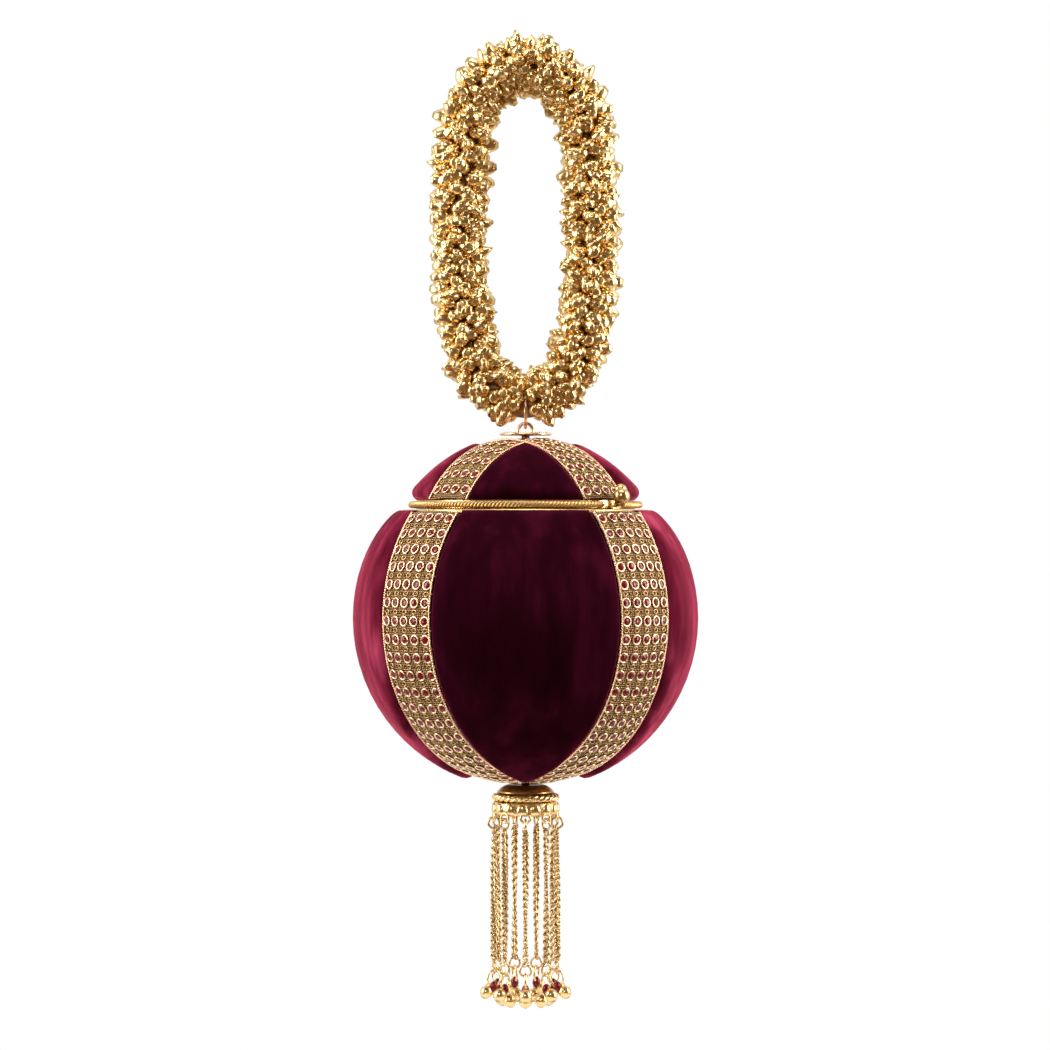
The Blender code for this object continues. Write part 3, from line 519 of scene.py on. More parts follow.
def panel_mesh(cover, ribbon_width, start, end, centre, azimuth, seed, top_rise, mouth_rise):
    draws = random.Random(seed)
    waves = [
        (draws.uniform(5, 17), draws.uniform(0, 6.3), draws.uniform(-3, 3))
        for _ in range(5)]
    margin = ribbon_width / 2 + SIDE_GAP
    form = bmesh.new()
    bmesh.ops.create_grid(form, x_segments=30, y_segments=34, size=1.0)
    for vertex in form.verts:
        sideways = sin(vertex.co.x * pi / 2)
        upwards = sin(vertex.co.y * pi / 2)
        angle = start + (end - start) * (upwards + 1) / 2
        girth = cover * sin(angle)
        half = pi / 4 - asin(margin / girth)
        turned_by = half * sideways
        to_side = (1 - abs(sideways)) * half * girth
        to_end = (1 - abs(upwards)) * abs(end - start) / 2 * cover
        from_mouth = abs(angle - start) * cover
        rolls = [
            sqrt(1 - (1 - min(reach / ROLL, 1)) ** 2) for reach in (to_side, to_end)]
        rise = top_rise + (mouth_rise - top_rise) * exp(-from_mouth / MOUTH_REACH)
        wrinkle = sum(
            sin(rate * turned_by * 3 + shift + lean * angle * 3)
            for rate, shift, lean in waves)
        height = RIM_HEIGHT + rolls[0] * rolls[1] * (rise + WRINKLE * wrinkle)
        direction = Vector((
            sin(angle) * cos(turned_by), sin(angle) * sin(turned_by),
            cos(angle)))
        vertex.co = direction * (cover + height)
    backed(form, lambda co: co.normalized() * (cover + BACK_HEIGHT))
    turn = Matrix.Rotation(azimuth, 3, "Z")
    for vertex in form.verts:
        vertex.co = turn @ vertex.co + centre
    return closed_mesh(form)

# %% Velvet panels
PANEL_RISES = {"lid": (2.1 * MM, 3.9 * MM), "body": (3.2 * MM, 0.9 * MM)}  # top, mouth
LID_RIBBON_WIDTH = 20.6 * MM
BODY_RIBBON_WIDTH = 25.0 * MM
BODY_MOUTH = 39.9 * MM  # height of the mouth over the body ball's centre
TIP_GAP = 0.8 * MM


def tip_angle(cover, ribbon_width):
    """How far from the pole a panel's tip lies, in the corner between two ribbons."""
    return asin((ribbon_width / 2 + TIP_GAP) * sqrt(2) / cover)


lid_rim = acos((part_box("lid_panel_front")[0].z - lid_centre.z) / LID_COVER)
body_rim = acos(BODY_MOUTH / (BODY_COVER + RIM_HEIGHT))
HALVES = {  # radius under the cloth, ribbon width, centre, and the panels' rim and tip
    "lid": (LID_COVER, LID_RIBBON_WIDTH, lid_centre, lid_rim,
            tip_angle(LID_COVER, LID_RIBBON_WIDTH)),
    "body": (BODY_COVER, BODY_RIBBON_WIDTH, body_centre, body_rim,
             pi - tip_angle(BODY_COVER, BODY_RIBBON_WIDTH)),
}
for half, (cover, width, centre, rim, tip) in HALVES.items():
    for number, side in enumerate(("front", "right", "back", "left")):
        azimuth = (number - 1) * pi / 2
        mesh = panel_mesh(
            cover, width, rim, tip, centre, azimuth, 11 * number + len(half),
            *PANEL_RISES[half])
        node = f"{half}_panel_{side}"
        # The side panels take the velvet with painted light in its base colour.
        finish = velvet if side == "front" else painted_light_side_velvet
        panel = add_piece(f"velvet_{node}", mesh, finish, half, [node])
print("velvet panels on", list(HALVES))

# %% [markdown]
# A jewelled ribbon is a woven band with rows of round stones, each in its own gold cup, and
# a thin twisted cord along both edges. Stones, cups and the small loops between the rows are
# repeated by the hundred, so each is a small shape with a few dozen faces.

# %% Small shapes for the ribbons
stone_unit = ball(1.6 * MM, (0, 0, 0), 8, 5)
stone_unit.transform(Matrix.Diagonal((1, 1, 0.5, 1)))
cup_unit = ring(1.72 * MM, 0.36 * MM, 12, 5)
loop_unit = ring(0.85 * MM, 0.24 * MM, 8, 4)
bead_unit = ball(0.42 * MM, (0, 0, 0), 6, 4)
print("faces of one cup", len(cup_unit.polygons))

# %% [markdown]
# The band is a strip wrapped on the ball. A flat band could be bent by a modifier, but then
# its edges would leave the ball. Here each point is worked out on the ball from its angle
# along the ribbon and its distance sideways, and the stones use the same sum.

# %% The woven band
GROUND_LIFT = 0.6 * MM  # the band's face over the ball
BAND_THICKNESS = 0.45 * MM
BAND_MARGIN = 0.5 * MM


def on_ball(centre, azimuth, radius, angle, sideways):
    """A point on a ribbon and its directions across, along and out."""
    turn = Matrix.Rotation(azimuth, 3, "Z")
    reach = sqrt(radius ** 2 - sideways ** 2)
    arm = Vector((reach * sin(angle), sideways, reach * cos(angle)))
    along = turn @ Vector((cos(angle), 0, -sin(angle)))
    point = turn @ arm
    outward = point.normalized()
    return centre + point, along.cross(outward), along, outward


def strip(centre, azimuth, radius, width, start, end):
    """The woven band, with a UV map in millimetres."""
    steps = max(8, round(abs(end - start) / radians(2)))
    form = bmesh.new()
    bmesh.ops.create_grid(form, x_segments=8, y_segments=steps, size=1.0)
    uv = form.loops.layers.uv.new("weave")
    for face in form.faces:
        for loop in face.loops:
            across, along = loop.vert.co.x, loop.vert.co.y
            loop[uv].uv = (
                across * width / 2 / MM, along * abs(end - start) / 2 * radius / MM)
    for vertex in form.verts:
        angle = start + (end - start) * (vertex.co.y + 1) / 2
        vertex.co = on_ball(centre, azimuth, radius, angle, vertex.co.x * width / 2)[0]
    bmesh.ops.recalc_face_normals(form, faces=form.faces)
    backed(form, lambda co: centre + (co - centre) * (radius - BAND_THICKNESS) / radius)
    return closed_mesh(form)

# %% Rows of stones, loops and beads
RIBBON_ROWS = {  # columns of stones, pitch across, pitch along
    "lid": (4, 4.9 * MM, 5.8 * MM), "body": (5, 4.95 * MM, 6.5 * MM)}
ROW_ENDS = 2.5 * MM  # left free of stones in all, at the two ends
CUP_LIFT = 0.35 * MM
LOOP_LIFT = 0.15 * MM
BEAD_LIFT = 0.2 * MM


def ribbon_rows(node, half, azimuth, start, end, gap):
    """Places of the stones and cups, and of the loops and beads between the rows."""
    cover, _, centre, _, _ = HALVES[half]
    columns, column_pitch, row_pitch = RIBBON_ROWS[half]
    rows = int((abs(end - start) * cover - ROW_ENDS) / row_pitch)
    step = (end - start) / rows
    draws = random.Random(len(node) * 7 + round(azimuth * 10))
    stones, cups, loops, beads = [], [], [], []

    def spot(angle, sideways, lift=0.0):
        return on_ball(centre, azimuth, cover + GROUND_LIFT + lift, angle, sideways)

    def is_free(angle, sideways):
        pole = min(abs(angle), abs(angle - pi)) * cover
        return pole > gap or abs(sideways) > gap

    for row in range(rows):
        angle = start + (row + 0.5) * step
        between = angle + step / 2
        for column in range(columns):
            sideways = (column - (columns - 1) / 2) * column_pitch
            if is_free(angle, sideways):
                point, across, along, outward = spot(angle, sideways)
                roll = Matrix.Rotation(draws.uniform(0, 0.8), 3, outward)
                tip = Matrix.Rotation(draws.uniform(-0.25, 0.25), 3, along) @ roll
                stones.append(placed(point, tip @ across, tip @ along, tip @ outward))
                cups.append(placed(point + outward * CUP_LIFT, across, along, outward))
            if row < rows - 1 and is_free(between, sideways):
                point, across, along, outward = spot(between, sideways)
                loops.append(placed(
                    point + outward * LOOP_LIFT, across, along, outward, (1.25, 0.95, 1)))
                for side in (-0.5, 0.5):
                    beads.append(placed(
                        *spot(between, sideways + side * column_pitch, BEAD_LIFT)))
    return stones, cups, loops, beads

# %% Edge cords and the whole ribbon
WIRE_STEP = 0.45 * MM  # length of one step along a twisted cord
EDGE_INSET = 0.45 * MM
EDGE_LIFT = 0.35 * MM


def ribbon_edges(half, azimuth, start, end):
    """The lines of the two twisted cords along a ribbon's edges."""
    cover, width, centre, _, _ = HALVES[half]
    count = round(abs(end - start) * cover / WIRE_STEP)
    lines = []
    for side in (-1, 1):
        path = [
            on_ball(centre, azimuth, cover + GROUND_LIFT + EDGE_LIFT,
                    start + (end - start) * k / count, side * (width / 2 - EDGE_INSET))[0]
            for k in range(count + 1)]
        lines += twisted(path, lambda point: point - centre, 0.27 * MM, 1.9 * MM, 2)
    return lines


def ribbon_pieces(node, half, azimuth, start, end, gap=0.0):
    cover, width, centre, _, _ = HALVES[half]
    band = strip(centre, azimuth, cover + GROUND_LIFT, width - BAND_MARGIN, start, end)
    stones, cups, loops, beads = ribbon_rows(node, half, azimuth, start, end, gap)
    small = joined("small", [
        scattered("loops", loop_unit, loops), scattered("beads", bead_unit, beads)])
    edges = wires("edges", ribbon_edges(half, azimuth, start, end), 0.3 * MM)
    add_piece(f"band_{node}", band, weave, half, [node])
    add_piece(f"stones_{node}", scattered("stones", stone_unit, stones), garnet, half,
              smooth=False)
    add_piece(f"cups_{node}", scattered("cups", cup_unit, cups), pale_gold, half)
    add_piece(f"loops_{node}", small, thread_gold, half)
    add_piece(f"edges_{node}", edges, pale_gold, half)
    return len(stones)

# %% [markdown]
# On each half one ribbon runs right across the pole, and two shorter ones butt against it.
# Stones are left out where the plate above and the cap below are screwed on.

# %% All six ribbons
POLE_GAP = 9.0 * MM
BUTT_GAP = 0.4 * MM
total = 0
for half, (cover, width, centre, rim, tip) in HALVES.items():
    butt = asin((width / 2 + BUTT_GAP) / cover)
    if half == "lid":
        edge = rim - asin(0.6 * MM / cover)
        across_ends, arm_ends = (-edge, edge), (butt, edge)
    else:
        edge = rim + 0.5 * MM / cover
        across_ends, arm_ends = (edge, 2 * pi - edge), (edge, pi - butt)
    total += ribbon_pieces(
        f"{half}_ribbon_across", half, HINGE_AZIMUTH, *across_ends, POLE_GAP)
    for side, azimuth in (("left", radians(225)), ("right", radians(45))):
        total += ribbon_pieces(f"{half}_ribbon_{side}", half, azimuth, *arm_ends)
print("stones", total)

# %% [markdown]
# Under the cloth each half is a moulded shell, with a satin lining inside. The CAD shells
# have flat facets, which would poke through a smooth lining when the bag opens. So shells
# and linings are both turned again with more steps. The two nuts keep their CAD meshes.

# %% Shells, linings and nuts
STUD_HOLE = 1.85 * MM
LAYERS = (  # names, depth of the outer face under the cloth, thickness, finish, slot
    ("card", "shell", 0.8 * MM, 1.75 * MM, card, "card"),
    ("satin", "lining", 2.9 * MM, 0.75 * MM, satin, "lining"))
for node in ("lid_nut", "body_nut"):
    cad = frame["nodes"][node]
    cad.data.materials.clear()
    cad.data.materials.append(brass)


def dome_mesh(outer, thickness, start, end, level):
    steps = 24
    angles = [start + (end - start) * k / steps for k in range(steps + 1)]
    outline = [(outer * sin(a), outer * cos(a)) for a in angles]
    inner = outer - thickness
    outline += [(inner * sin(a), inner * cos(a)) for a in angles[::-1]]
    return turned(outline, level, 72)


for half, (cover, width, centre, rim, tip) in HALVES.items():
    for stuff, layer, depth, thickness, finish, slot in LAYERS:
        outer = cover - depth
        low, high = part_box(f"{half}_{layer}")
        edge = low.z if half == "lid" else high.z
        start = acos((edge - centre.z) / outer)
        end = asin(STUD_HOLE / outer)
        if half == "body":
            end = pi - end
        add_piece(f"{stuff}_{half}_{layer}", dome_mesh(outer, thickness, start, end, centre.z),
                  finish, half, [f"{half}_{layer}"])
print("layers in each half", [layer for _, layer, *_ in LAYERS])

# %% [markdown]
# Two brass rings close the mouth. Each is turned in one go, and the hinge knuckles are
# short tubes soldered on at the back left. The pin has a round head at each end.

# %% Sizes of the frame and its hinge
LID_FRAME = 41.1 * MM  # outer radii of the two rings
BODY_FRAME = 46.0 * MM
SKIRT = 43.3 * MM  # outer radius of the collar that goes down into the body
INSIDE = 37.2 * MM
WALL = 1.2 * MM
LID_FRAME_HEIGHT = 3.0 * MM
FRAME_GAP = 0.3 * MM
SEAM_RADIUS = 1.25 * MM  # half the thickness of the seam cord in the CAD model
SEAM_RISE = 1.5 * MM
KNUCKLE_PITCH = 4.8 * MM
hinge_along = Vector((sin(HINGE_AZIMUTH), -cos(HINGE_AZIMUTH), 0))
lid_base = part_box("seam_cord_left")[0].z + SEAM_RADIUS - SEAM_RISE
body_top = lid_base - FRAME_GAP


def knuckle(offset, length):
    start = hinge_point + hinge_along * (offset - length / 2)
    return rod(1.6 * MM, start, start + hinge_along * length)


def web(level, height, inner, outer, offset, length):
    """The flat tab that joins a knuckle to its ring."""
    form = bmesh.new()
    centre = hinge_along * offset + UP * level
    outward = Matrix.Rotation(HINGE_AZIMUTH, 3, "Z") @ Vector((1, 0, 0))
    matrix = placed(centre + outward * (inner + outer) / 2, outward, hinge_along, UP,
                    (outer - inner, length, height))
    bmesh.ops.create_cube(form, size=1.0, matrix=matrix)
    return closed_mesh(form)


print("lid frame stands on", round(lid_base, 4))

# %% Frame rings and hinge
lid_ring = turned([
    (LID_FRAME, LID_FRAME_HEIGHT), (LID_FRAME, 0.2 * MM), (LID_FRAME - 0.2 * MM, 0),
    (INSIDE, 0), (INSIDE, WALL), (LID_FRAME - WALL, WALL),
    (LID_FRAME - WALL, LID_FRAME_HEIGHT)], lid_base)
lid_web = web(hinge_point.z, WALL, LID_FRAME - WALL / 2, BODY_FRAME - 0.8 * MM, 0, 4.7 * MM)
add_piece("brass_lid_frame", joined("lid_frame", [lid_ring, lid_web, knuckle(0, 5.0 * MM)]),
          brass, "lid", ["lid_frame"], smooth=False)

skirt_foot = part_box("body_frame")[0].z - body_top
body_parts = [turned([
    (BODY_FRAME - 0.3 * MM, 0), (BODY_FRAME, -0.3 * MM), (BODY_FRAME, -WALL),
    (SKIRT, -WALL), (SKIRT, skirt_foot), (SKIRT - WALL, skirt_foot),
    (SKIRT - WALL, -WALL), (INSIDE, -WALL), (INSIDE, 0)], body_top)]
for offset in (-KNUCKLE_PITCH, KNUCKLE_PITCH):
    body_parts.append(knuckle(offset, 4.0 * MM))
    body_parts.append(web(
        (hinge_point.z + body_top) / 2, hinge_point.z - body_top, BODY_FRAME - 1.6 * MM,
        BODY_FRAME, offset, 3.7 * MM))
add_piece("brass_body_frame", joined("body_frame", body_parts), brass, "body",
          ["body_frame"], smooth=False)

pin_half = hinge_along * 7.7 * MM
pin_ends = (hinge_point - pin_half, hinge_point + pin_half)
pin = joined("pin", [
    rod(0.75 * MM, *pin_ends), *[ball(1.1 * MM, end, 16, 8) for end in pin_ends]])
add_piece("brass_hinge_pin", pin, brass, "body", ["hinge_pin"])
print("pin length", round(2 * pin_half.length / MM, 1), "mm")

# %% [markdown]
# The seam is hidden by a twisted gold cord. A bump pattern on a plain tube would look flat
# at its outline, so three real wires wind round the seam's circle. The cord is left out at
# the hinge and at the clasp, where the bag has to open.

# %% Seam cord
def circle_path(radius, level, start, end):
    count = round(abs(end - start) * radius / WIRE_STEP)
    angles = [start + (end - start) * k / count for k in range(count + 1)]
    return [Vector((radius * cos(a), radius * sin(a), level)) for a in angles]


cord_radius = LID_FRAME + FRAME_GAP + SEAM_RADIUS
cord_level = lid_base + SEAM_RISE
clasp_azimuth = radians(-41.25)
at_hinge = 8.0 * MM / cord_radius
at_clasp = 5.5 * MM / cord_radius
for name, start, end in (
        ("right", clasp_azimuth + at_clasp, HINGE_AZIMUTH - at_hinge),
        ("left", HINGE_AZIMUTH + at_hinge, clasp_azimuth - at_clasp + 2 * pi)):
    path = circle_path(cord_radius, cord_level, start, end)
    lines = twisted(path, lambda point: UP, 0.72 * MM, 4.2 * MM, 3)
    add_piece(f"gold_seam_cord_{name}", wires("seam", lines, 0.58 * MM, sides=2), thread_gold,
              "lid", [f"seam_cord_{name}"])
print("seam cord radius", round(cord_radius / MM, 2), "mm")

# %% [markdown]
# The clasp is two polished balls on springy arms that snap past each other. Each arm is a
# rod from a small pad, which is soldered to its frame ring and has softened edges.

# %% Clasp balls
CAD_BALL = 2.65 * MM
PAD_SIZE = (2.1 * MM, 4.4 * MM, 0.9 * MM)


def clasp(name, body, foot_radius, azimuth_degrees, radius, lowered):
    low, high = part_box(name)
    turn = Matrix.Rotation(radians(azimuth_degrees), 3, "Z")
    centre = Vector((high.x - CAD_BALL, low.y + CAD_BALL, high.z - CAD_BALL - lowered))
    foot = turn @ Vector((foot_radius, 0, 0)) + UP * (low.z + 0.4 * MM)
    arm = rod(0.9 * MM, foot, centre, 16)
    outward = turn @ Vector((1, 0, 0))
    pad = bmesh.new()
    bmesh.ops.create_cube(pad, size=1.0, matrix=placed(
        foot + UP * 0.05 * MM, outward, UP.cross(outward), UP, PAD_SIZE))
    bmesh.ops.bevel(pad, geom=pad.edges[:], offset=0.2 * MM, segments=2, profile=0.5,
                    affect="EDGES", material=-1)
    mesh = joined(name, [closed_mesh(pad), arm, ball(radius, centre, 48, 24)])
    add_piece(f"brass_{name}", mesh, brass, body, [name])


clasp("lid_clasp_ball", "lid", LID_FRAME + 1.38 * MM, -39, 2.5 * MM, 1.0 * MM)
clasp("body_clasp_ball", "body", BODY_FRAME - 1.08 * MM, -43.5, 3.0 * MM, 0)
print("clasp pads", [round(side / MM, 1) for side in PAD_SIZE], "mm")

# %% [markdown]
# The wrist loop is a cord hidden under hundreds of little bells. One bell is a flattened pod
# with a pinched mouth. A low sphere is enough for it, because the loop needs so many copies.

# %% One bell
BELL_RINGS = (
    (0.0, 0.0, 0.0), (0.08, 0.45, 0.45), (0.34, 0.95, 0.85), (0.6, 1.0, 0.75),
    (0.84, 0.74, 0.4), (1.0, 0.4, 0.1), (0.75, 0.0, 0.0))


def bell_shape(length, radius, flat=1.0):
    """A pod on +Z: (height, half width, half depth) shares for each ring of a low sphere."""
    form = bmesh.new()
    bmesh.ops.create_uvsphere(form, u_segments=8, v_segments=6, radius=1.0)
    for vertex in form.verts:
        turn = atan2(vertex.co.y, vertex.co.x)
        height, width, depth = BELL_RINGS[round(6 * acos(-vertex.co.z) / pi)]
        depth = depth * flat + width * (1 - flat)
        vertex.co = (
            width * radius * cos(turn), depth * radius * sin(turn), height * length)
    return closed_mesh(form)


pod_unit = bell_shape(8.0 * MM, 2.8 * MM)
round_unit = bell_shape(6.6 * MM, 3.0 * MM, 0.6)
inner_unit = bell_shape(6.4 * MM, 3.0 * MM, 0.5)
print("faces of one bell", len(pod_unit.polygons))

# %% [markdown]
# The loop hangs as a long oval. It starts as a stadium, two half circles and two straight
# sides, because distances along it are easy to work out. Then its ends are drawn in.

# %% The loop's centre line
HOLE_WIDTH, CORD, BELL_STAND = 24.6, 5.0, 6.8  # in mm: the hole, the cord's radius, the bells
HALF_WIDTH = (HOLE_WIDTH / 2 + CORD + BELL_STAND) * MM
loop_top = 10.2 * MM
loop_bottom = joints["ring_swing"].z
middle_level = (loop_top + loop_bottom) / 2
loop_length = 2 * pi * HALF_WIDTH + 2 * (loop_top - loop_bottom - 2 * HALF_WIDTH)


def stadium_point(distance):
    """Place and outward direction at a distance along a plain stadium, from its bottom."""
    quarter = HALF_WIDTH * pi / 2
    upper, lower = loop_top - HALF_WIDTH, loop_bottom + HALF_WIDTH
    side = upper - lower
    distance %= 4 * quarter + 2 * side
    if distance < quarter:
        angle, level = distance / HALF_WIDTH - pi / 2, lower
    elif distance < quarter + side:
        angle, level = 0.0, lower + distance - quarter
    elif distance < 3 * quarter + side:
        angle, level = (distance - quarter - side) / HALF_WIDTH, upper
    elif distance < 3 * quarter + 2 * side:
        angle, level = pi, upper - (distance - 3 * quarter - side)
    else:
        angle, level = (distance - 4 * quarter - 2 * side) / HALF_WIDTH - pi / 2, lower
    outward = Vector((cos(angle), 0, sin(angle)))
    return UP * level + outward * HALF_WIDTH, outward


def loop_point(distance):
    """The stadium drawn in towards its ends, more below, where the bag's weight pulls."""
    point, outward = stadium_point(distance)
    share = (point.z - middle_level) / (loop_top - middle_level)
    point.x *= 1.03 - (0.25 if share > 0 else 0.38) * share ** 2
    return point, outward


def around_cord(outward, turn):
    return outward * cos(turn) + Vector((0, sin(turn), 0))


print("loop length", round(loop_length / MM, 1), "mm")

# %% [markdown]
# The bells are sewn on by hand, so each is a bit tilted, turned and scaled. A particle system
# could scatter them, but rows with small random shifts look sewn and stay the same each time.
# Near the top ring they are moved aside, left out or made smaller, so that the ring can swing.

# %% Outer bells
ROWS, COLUMNS = 66, 10
BELL_FOOT = 4.6 * MM
draws = random.Random(5)
pods, rounds = [], []
for row in range(ROWS):
    for column in range(COLUMNS):
        distance = (row + 0.5 * (column % 2) + draws.uniform(-0.25, 0.25)) * loop_length / ROWS
        from_ring = min(distance, loop_length - distance)
        if from_ring < 12 * MM:
            near = 4.6 * MM if from_ring < 6.5 * MM else 9.8 * MM
            distance = near if distance < loop_length / 2 else loop_length - near
        centre, outward = loop_point(distance)
        share = (column + 0.5 * (row % 2) + draws.uniform(-0.15, 0.15)) / COLUMNS
        direction = around_cord(outward, 2 * pi * share)
        foot = centre + direction * BELL_FOOT
        low = foot.z < loop_bottom + 14 * MM
        if low and abs(foot.x) < 5.2 * MM and direction.z < -0.45:
            continue
        reach = 0.15 if low and abs(foot.x) < 8 * MM else 0.52
        lean = Vector([draws.uniform(-reach, reach) for _ in range(3)])
        turn = draws.uniform(0, 2 * pi)
        size = draws.uniform(0.85, 1.1)
        if low and abs(foot.x) < 14 * MM and direction.z < 0.3:
            size *= 0.75
        matrix = upright(foot, (direction + lean).normalized(), turn, size)
        (rounds if draws.random() < 0.3 else pods).append(matrix)
bells = joined("bells", [
    scattered("pods", pod_unit, pods), scattered("rounds", round_unit, rounds)])
add_piece("gold_loop_bells", bells, gold, "wrist_loop", ["wrist_loop"])
print("outer bells", len(pods) + len(rounds))

# %% Inner bells and the cord
INNER_ROWS, INNER_COLUMNS = 70, 9
INNER_FOOT = 3.6 * MM
CORD_POINTS = 160
inner_places = []
for row in range(INNER_ROWS):
    for column in range(INNER_COLUMNS):
        centre, outward = loop_point((row + 0.5 * (column % 2)) * loop_length / INNER_ROWS)
        share = (column + 0.5 * (row % 2) + draws.uniform(-0.2, 0.2)) / INNER_COLUMNS
        direction = around_cord(outward, 2 * pi * share)
        foot = centre + direction * INNER_FOOT
        near_ring = foot.z < loop_bottom + 8 * MM and abs(foot.x) < 4.4 * MM
        if near_ring and (direction.z < -0.45 or abs(foot.x) < 2.0 * MM):
            continue
        inner_places.append(upright(
            foot, direction, draws.uniform(0, 2 * pi), 0.65 if near_ring else 1.0))
inner_bells = scattered("inner", inner_unit, inner_places)
add_piece("gold_loop_inner_bells", inner_bells, gold, "wrist_loop")
# The cord's brown gold stands in for the shade between the bells: painted shade.
core_path = [loop_point(loop_length * k / CORD_POINTS)[0] for k in range(CORD_POINTS)]
core = wires("core", [core_path], CORD * MM, closed=True, sides=5)
add_piece("loop_cord", core, loop_cord, "wrist_loop")
print("inner bells", len(inner_places))

# %% [markdown]
# One thin ring runs round the loop's cord and through a staple on a small round plate. The
# plate is turned with chamfered edges, and a row of beads runs along its rim.

# %% Ring, staple and plate
ring_low, ring_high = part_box("top_ring")
ring_mesh = ring(7.2 * MM, 0.65 * MM, 64, 12)
ring_mesh.transform(placed(
    (ring_low + ring_high) / 2, Vector((0, 1, 0)), UP, Vector((1, 0, 0))))
add_piece("gold_top_ring", ring_mesh, pale_gold, "top_ring", ["top_ring"])

ARCH_RADIUS = 2.6 * MM
ARCH_WIRE = 0.6 * MM
ARCH_HEIGHT = 3.7 * MM
RIM_BEADS = 60
RIM_RADIUS = 9.2 * MM
plate_low, plate_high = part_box("staple_plate")
plate_top = plate_high.z - ARCH_WIRE - ARCH_HEIGHT
plate_inside = plate_top - 0.4 * MM
plate = turned([
    (9.6 * MM, 0), (9.9 * MM, -0.3 * MM), (9.9 * MM, -0.6 * MM), (9.6 * MM, -0.8 * MM),
    (0.01 * MM, -0.8 * MM), (0.01 * MM, 0)], plate_top)
spring_line = plate_top + ARCH_HEIGHT - ARCH_RADIUS
arch_path = [Vector((ARCH_RADIUS, 0, plate_inside))]
arch_path += [
    Vector((ARCH_RADIUS * cos(a), 0, spring_line + ARCH_RADIUS * sin(a)))
    for a in [pi * k / 16 for k in range(17)]]
arch_path.append(Vector((-ARCH_RADIUS, 0, plate_inside)))
arch = wires("arch", [arch_path], ARCH_WIRE, sides=3)
stud = rod(1.5 * MM, (0, 0, plate_inside), (0, 0, plate_low.z))
rim_beads = scattered("beads", ball(0.38 * MM, (0, 0, 0), 8, 6), [
    Matrix.Translation((RIM_RADIUS * cos(a), RIM_RADIUS * sin(a), plate_top))
    for a in [2 * pi * k / RIM_BEADS for k in range(RIM_BEADS)]])
add_piece("gold_staple_plate", joined("plate", [plate, arch, stud, rim_beads]), pale_gold,
          "lid", ["staple_plate"])
print("plate top", round(plate_top, 4))

# %% [markdown]
# The tassel hangs from a bronze cap, which is turned and hollow. A rope of three wires runs
# round it, wound the same way as the seam cord.

# %% Tassel cap and twisted ring
CAP_GAP = 0.3 * MM
CAP_RADIUS = 9.9 * MM
ROPE_TURNS = 9
cap_top = body_centre.z - BODY_COVER - RIBBON - CAP_GAP
cap = turned([
    (0.01 * MM, 0), (7.0 * MM, 0), (8.2 * MM, -0.4 * MM), (9.4 * MM, -1.2 * MM),
    (10.3 * MM, -2.1 * MM), (10.7 * MM, -2.7 * MM), (10.4 * MM, -3.0 * MM),
    (CAP_RADIUS, -3.0 * MM), (CAP_RADIUS, -10.4 * MM), (9.0 * MM, -10.4 * MM),
    (9.0 * MM, -2.8 * MM), (0.01 * MM, -0.9 * MM)], cap_top)
cap_stud = rod(1.5 * MM, (0, 0, cap_top - 0.4 * MM), (0, 0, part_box("tassel_cap")[1].z))
add_piece("bronze_tassel_cap", joined("cap", [cap, cap_stud]), bronze, "body",
          ["tassel_cap"])

rope_low, rope_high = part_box("tassel_twist_ring")
rope_radius = CAP_RADIUS + CAP_GAP + 1.3 * MM
rope_path = circle_path(rope_radius, (rope_low.z + rope_high.z) / 2, 0, 2 * pi)
pitch = 2 * pi * rope_radius / ROPE_TURNS
lines = twisted(rope_path, lambda point: UP, 0.62 * MM, pitch, 3)
add_piece("gold_twist_ring", wires("twist", lines, 0.68 * MM, sides=2), gold, "body",
          ["tassel_twist_ring"])
print("rope pitch", round(pitch / MM, 2), "mm")

# %% [markdown]
# Below the rope is a ring of petals, with one eyelet for each strand. One petal is a sphere
# that is bent over, and fifteen copies overlap the turned band behind them.

# %% Petal ring and eyelets
STRANDS = 9
PETALS = 15
PETAL_SIZE = (1.3 * MM, 2.4 * MM, 2.3 * MM)
EYELET_RADIUS = 1.75 * MM
petal_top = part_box("tassel_scallop_ring")[1].z
band = turned([
    (11.6 * MM, 0), (12.1 * MM, -0.6 * MM), (12.0 * MM, -4.2 * MM), (11.4 * MM, -4.9 * MM),
    (10.3 * MM, -4.9 * MM), (10.3 * MM, 0)], petal_top)
form = bmesh.new()
bmesh.ops.create_uvsphere(form, u_segments=12, v_segments=8, radius=1.0)
for vertex in form.verts:
    vertex.co.z -= 0.35 * vertex.co.y ** 2
petal_unit = closed_mesh(form)
petal_places = []
for k in range(PETALS):
    azimuth = 2 * pi * k / PETALS
    outward = Vector((cos(azimuth), sin(azimuth), 0))
    centre = outward * 11.7 * MM + UP * (petal_top - 2.4 * MM)
    petal_places.append(placed(centre, outward, UP.cross(outward), UP, PETAL_SIZE))
strand_points = [joints[f"strand_{number}_swing"] for number in range(1, STRANDS + 1)]
eyelet_unit = ring(EYELET_RADIUS, 0.5 * MM, 20, 8)
eyelet_places = []
for point in strand_points:
    outward = Vector((point.x, point.y, 0)).normalized()
    centre = point + UP * EYELET_RADIUS
    eyelet_places.append(placed(centre, UP.cross(outward), UP, outward))
petals = joined("petals", [
    band, scattered("petals", petal_unit, petal_places),
    scattered("eyelets", eyelet_unit, eyelet_places)])
add_piece("gold_petal_ring", petals, gold, "body", ["tassel_scallop_ring"])
print("petals", PETALS, "eyelets", len(eyelet_places))

# %% [markdown]
# Each strand is a curb chain: oval links of thin wire that lie half in one another, turned
# by turns to the left and to the right, so the chain looks like a twisted rope. A larger
# ring at its foot carries two round bells and one garnet.

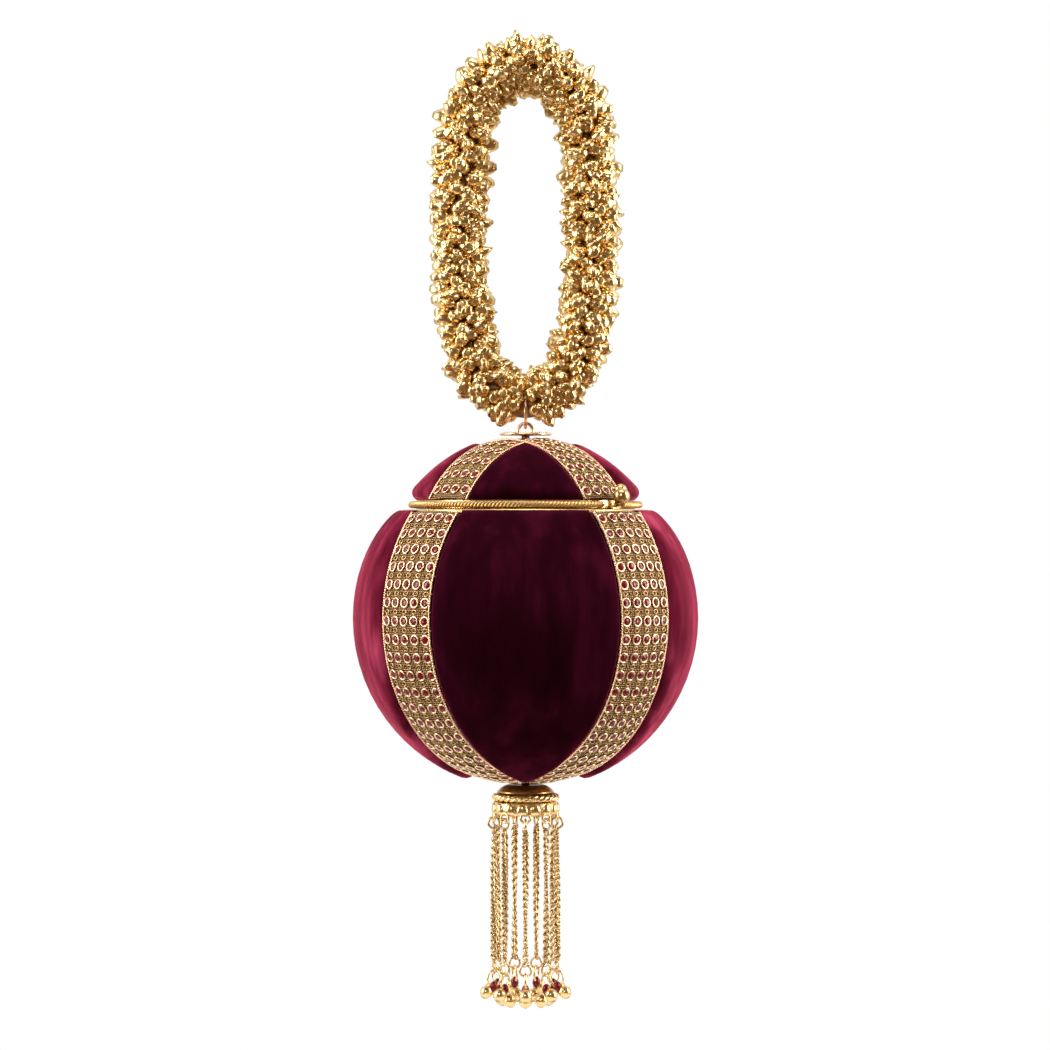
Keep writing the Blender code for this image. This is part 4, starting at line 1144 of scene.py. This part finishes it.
# %% Shapes for the strands
LINKS = 36
JUMP_RADIUS, JUMP_WIRE = 2.1 * MM, 0.45 * MM
DROP_RADIUS, DROP_WIRE = 3.0 * MM, 0.45 * MM
BELL_OUT = 2.8 * MM
BELL_FALLS = ((1, 5.0 * MM), (-1, 7.6 * MM))  # side, and how far it hangs below the ring
link_unit = ring(0.82 * MM, 0.4 * MM, 12, 5)
jump_unit = ring(JUMP_RADIUS, JUMP_WIRE, 20, 8)
drop_ring_unit = ring(DROP_RADIUS, DROP_WIRE, 24, 8)
bell_unit = bell_shape(5.3 * MM, 2.6 * MM, 0.15)
garnet_unit = ball(1.5 * MM, (0, 0, 0), 12, 8)
garnet_unit.transform(Matrix.Diagonal((1, 1, 1.5, 1)))


def link_places(column, outward, top, foot):
    """The places of a chain's links, from its upper jump ring to its lower one."""
    first, last = top - JUMP_RADIUS, foot + JUMP_RADIUS
    places = []
    for k in range(LINKS):
        centre = column + UP * (first + (last - first) * (k + 0.5) / LINKS)
        turn = Matrix.Rotation(radians(24 if k % 2 else -24) + 0.06 * k, 3, "Z")
        normal = turn @ outward
        lean = Matrix.Rotation(radians(32), 3, normal)
        across = lean @ turn @ UP.cross(outward)
        places.append(placed(centre, across, lean @ UP, normal, (1, 1.6, 1)))
    return places


print("faces of one link", len(link_unit.polygons))

# %% Strands
for number, point in enumerate(strand_points, start=1):
    body = f"strand_{number}"
    column = Vector((point.x, point.y, 0))
    outward = column.normalized()
    around = UP.cross(outward)
    chain_low, chain_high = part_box(f"chain_{number}")
    top = chain_high.z - JUMP_WIRE - JUMP_RADIUS
    foot = chain_low.z + JUMP_WIRE + JUMP_RADIUS
    chain = joined("chain", [
        scattered("links", link_unit, link_places(column, outward, top, foot)),
        scattered("jumps", jump_unit, [
            placed(column + UP * top, outward, UP, around),
            placed(column + UP * foot, around, UP, outward)])])
    add_piece(f"gold_chain_{number}", chain, chain_gold, body, [f"chain_{number}"])

    drop_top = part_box(f"drop_{number}")[1].z
    ring_centre = column + UP * (drop_top - DROP_WIRE - DROP_RADIUS)
    bell_places = []
    for side, fall in BELL_FALLS:
        centre = ring_centre + outward * side * BELL_OUT - UP * fall
        hang = (centre - ring_centre).normalized()
        bell_places.append(upright(centre - hang * 2.6 * MM, hang, number * 1.3 + side))
    drop = joined("drop", [
        scattered("ring", drop_ring_unit, [
            placed(ring_centre, outward, UP, around, (0.78, 1.0, 1))]),
        scattered("bells", bell_unit, bell_places)])
    add_piece(f"gold_drop_{number}", drop, gold, body, [f"drop_{number}"])
    stone = garnet_unit.copy()
    stone.transform(Matrix.Translation(ring_centre - UP * 3.3 * MM))
    add_piece(f"garnet_drop_{number}", stone, garnet, body)
print("strands", STRANDS, "links in each", LINKS)

# %% [markdown]
# The last step prints the dressed bag's box, to set beside the CAD box printed at the start.

# %% Sizes and finish
low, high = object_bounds()
print("visual box", [round(value, 4) for value in (*low, *high)])
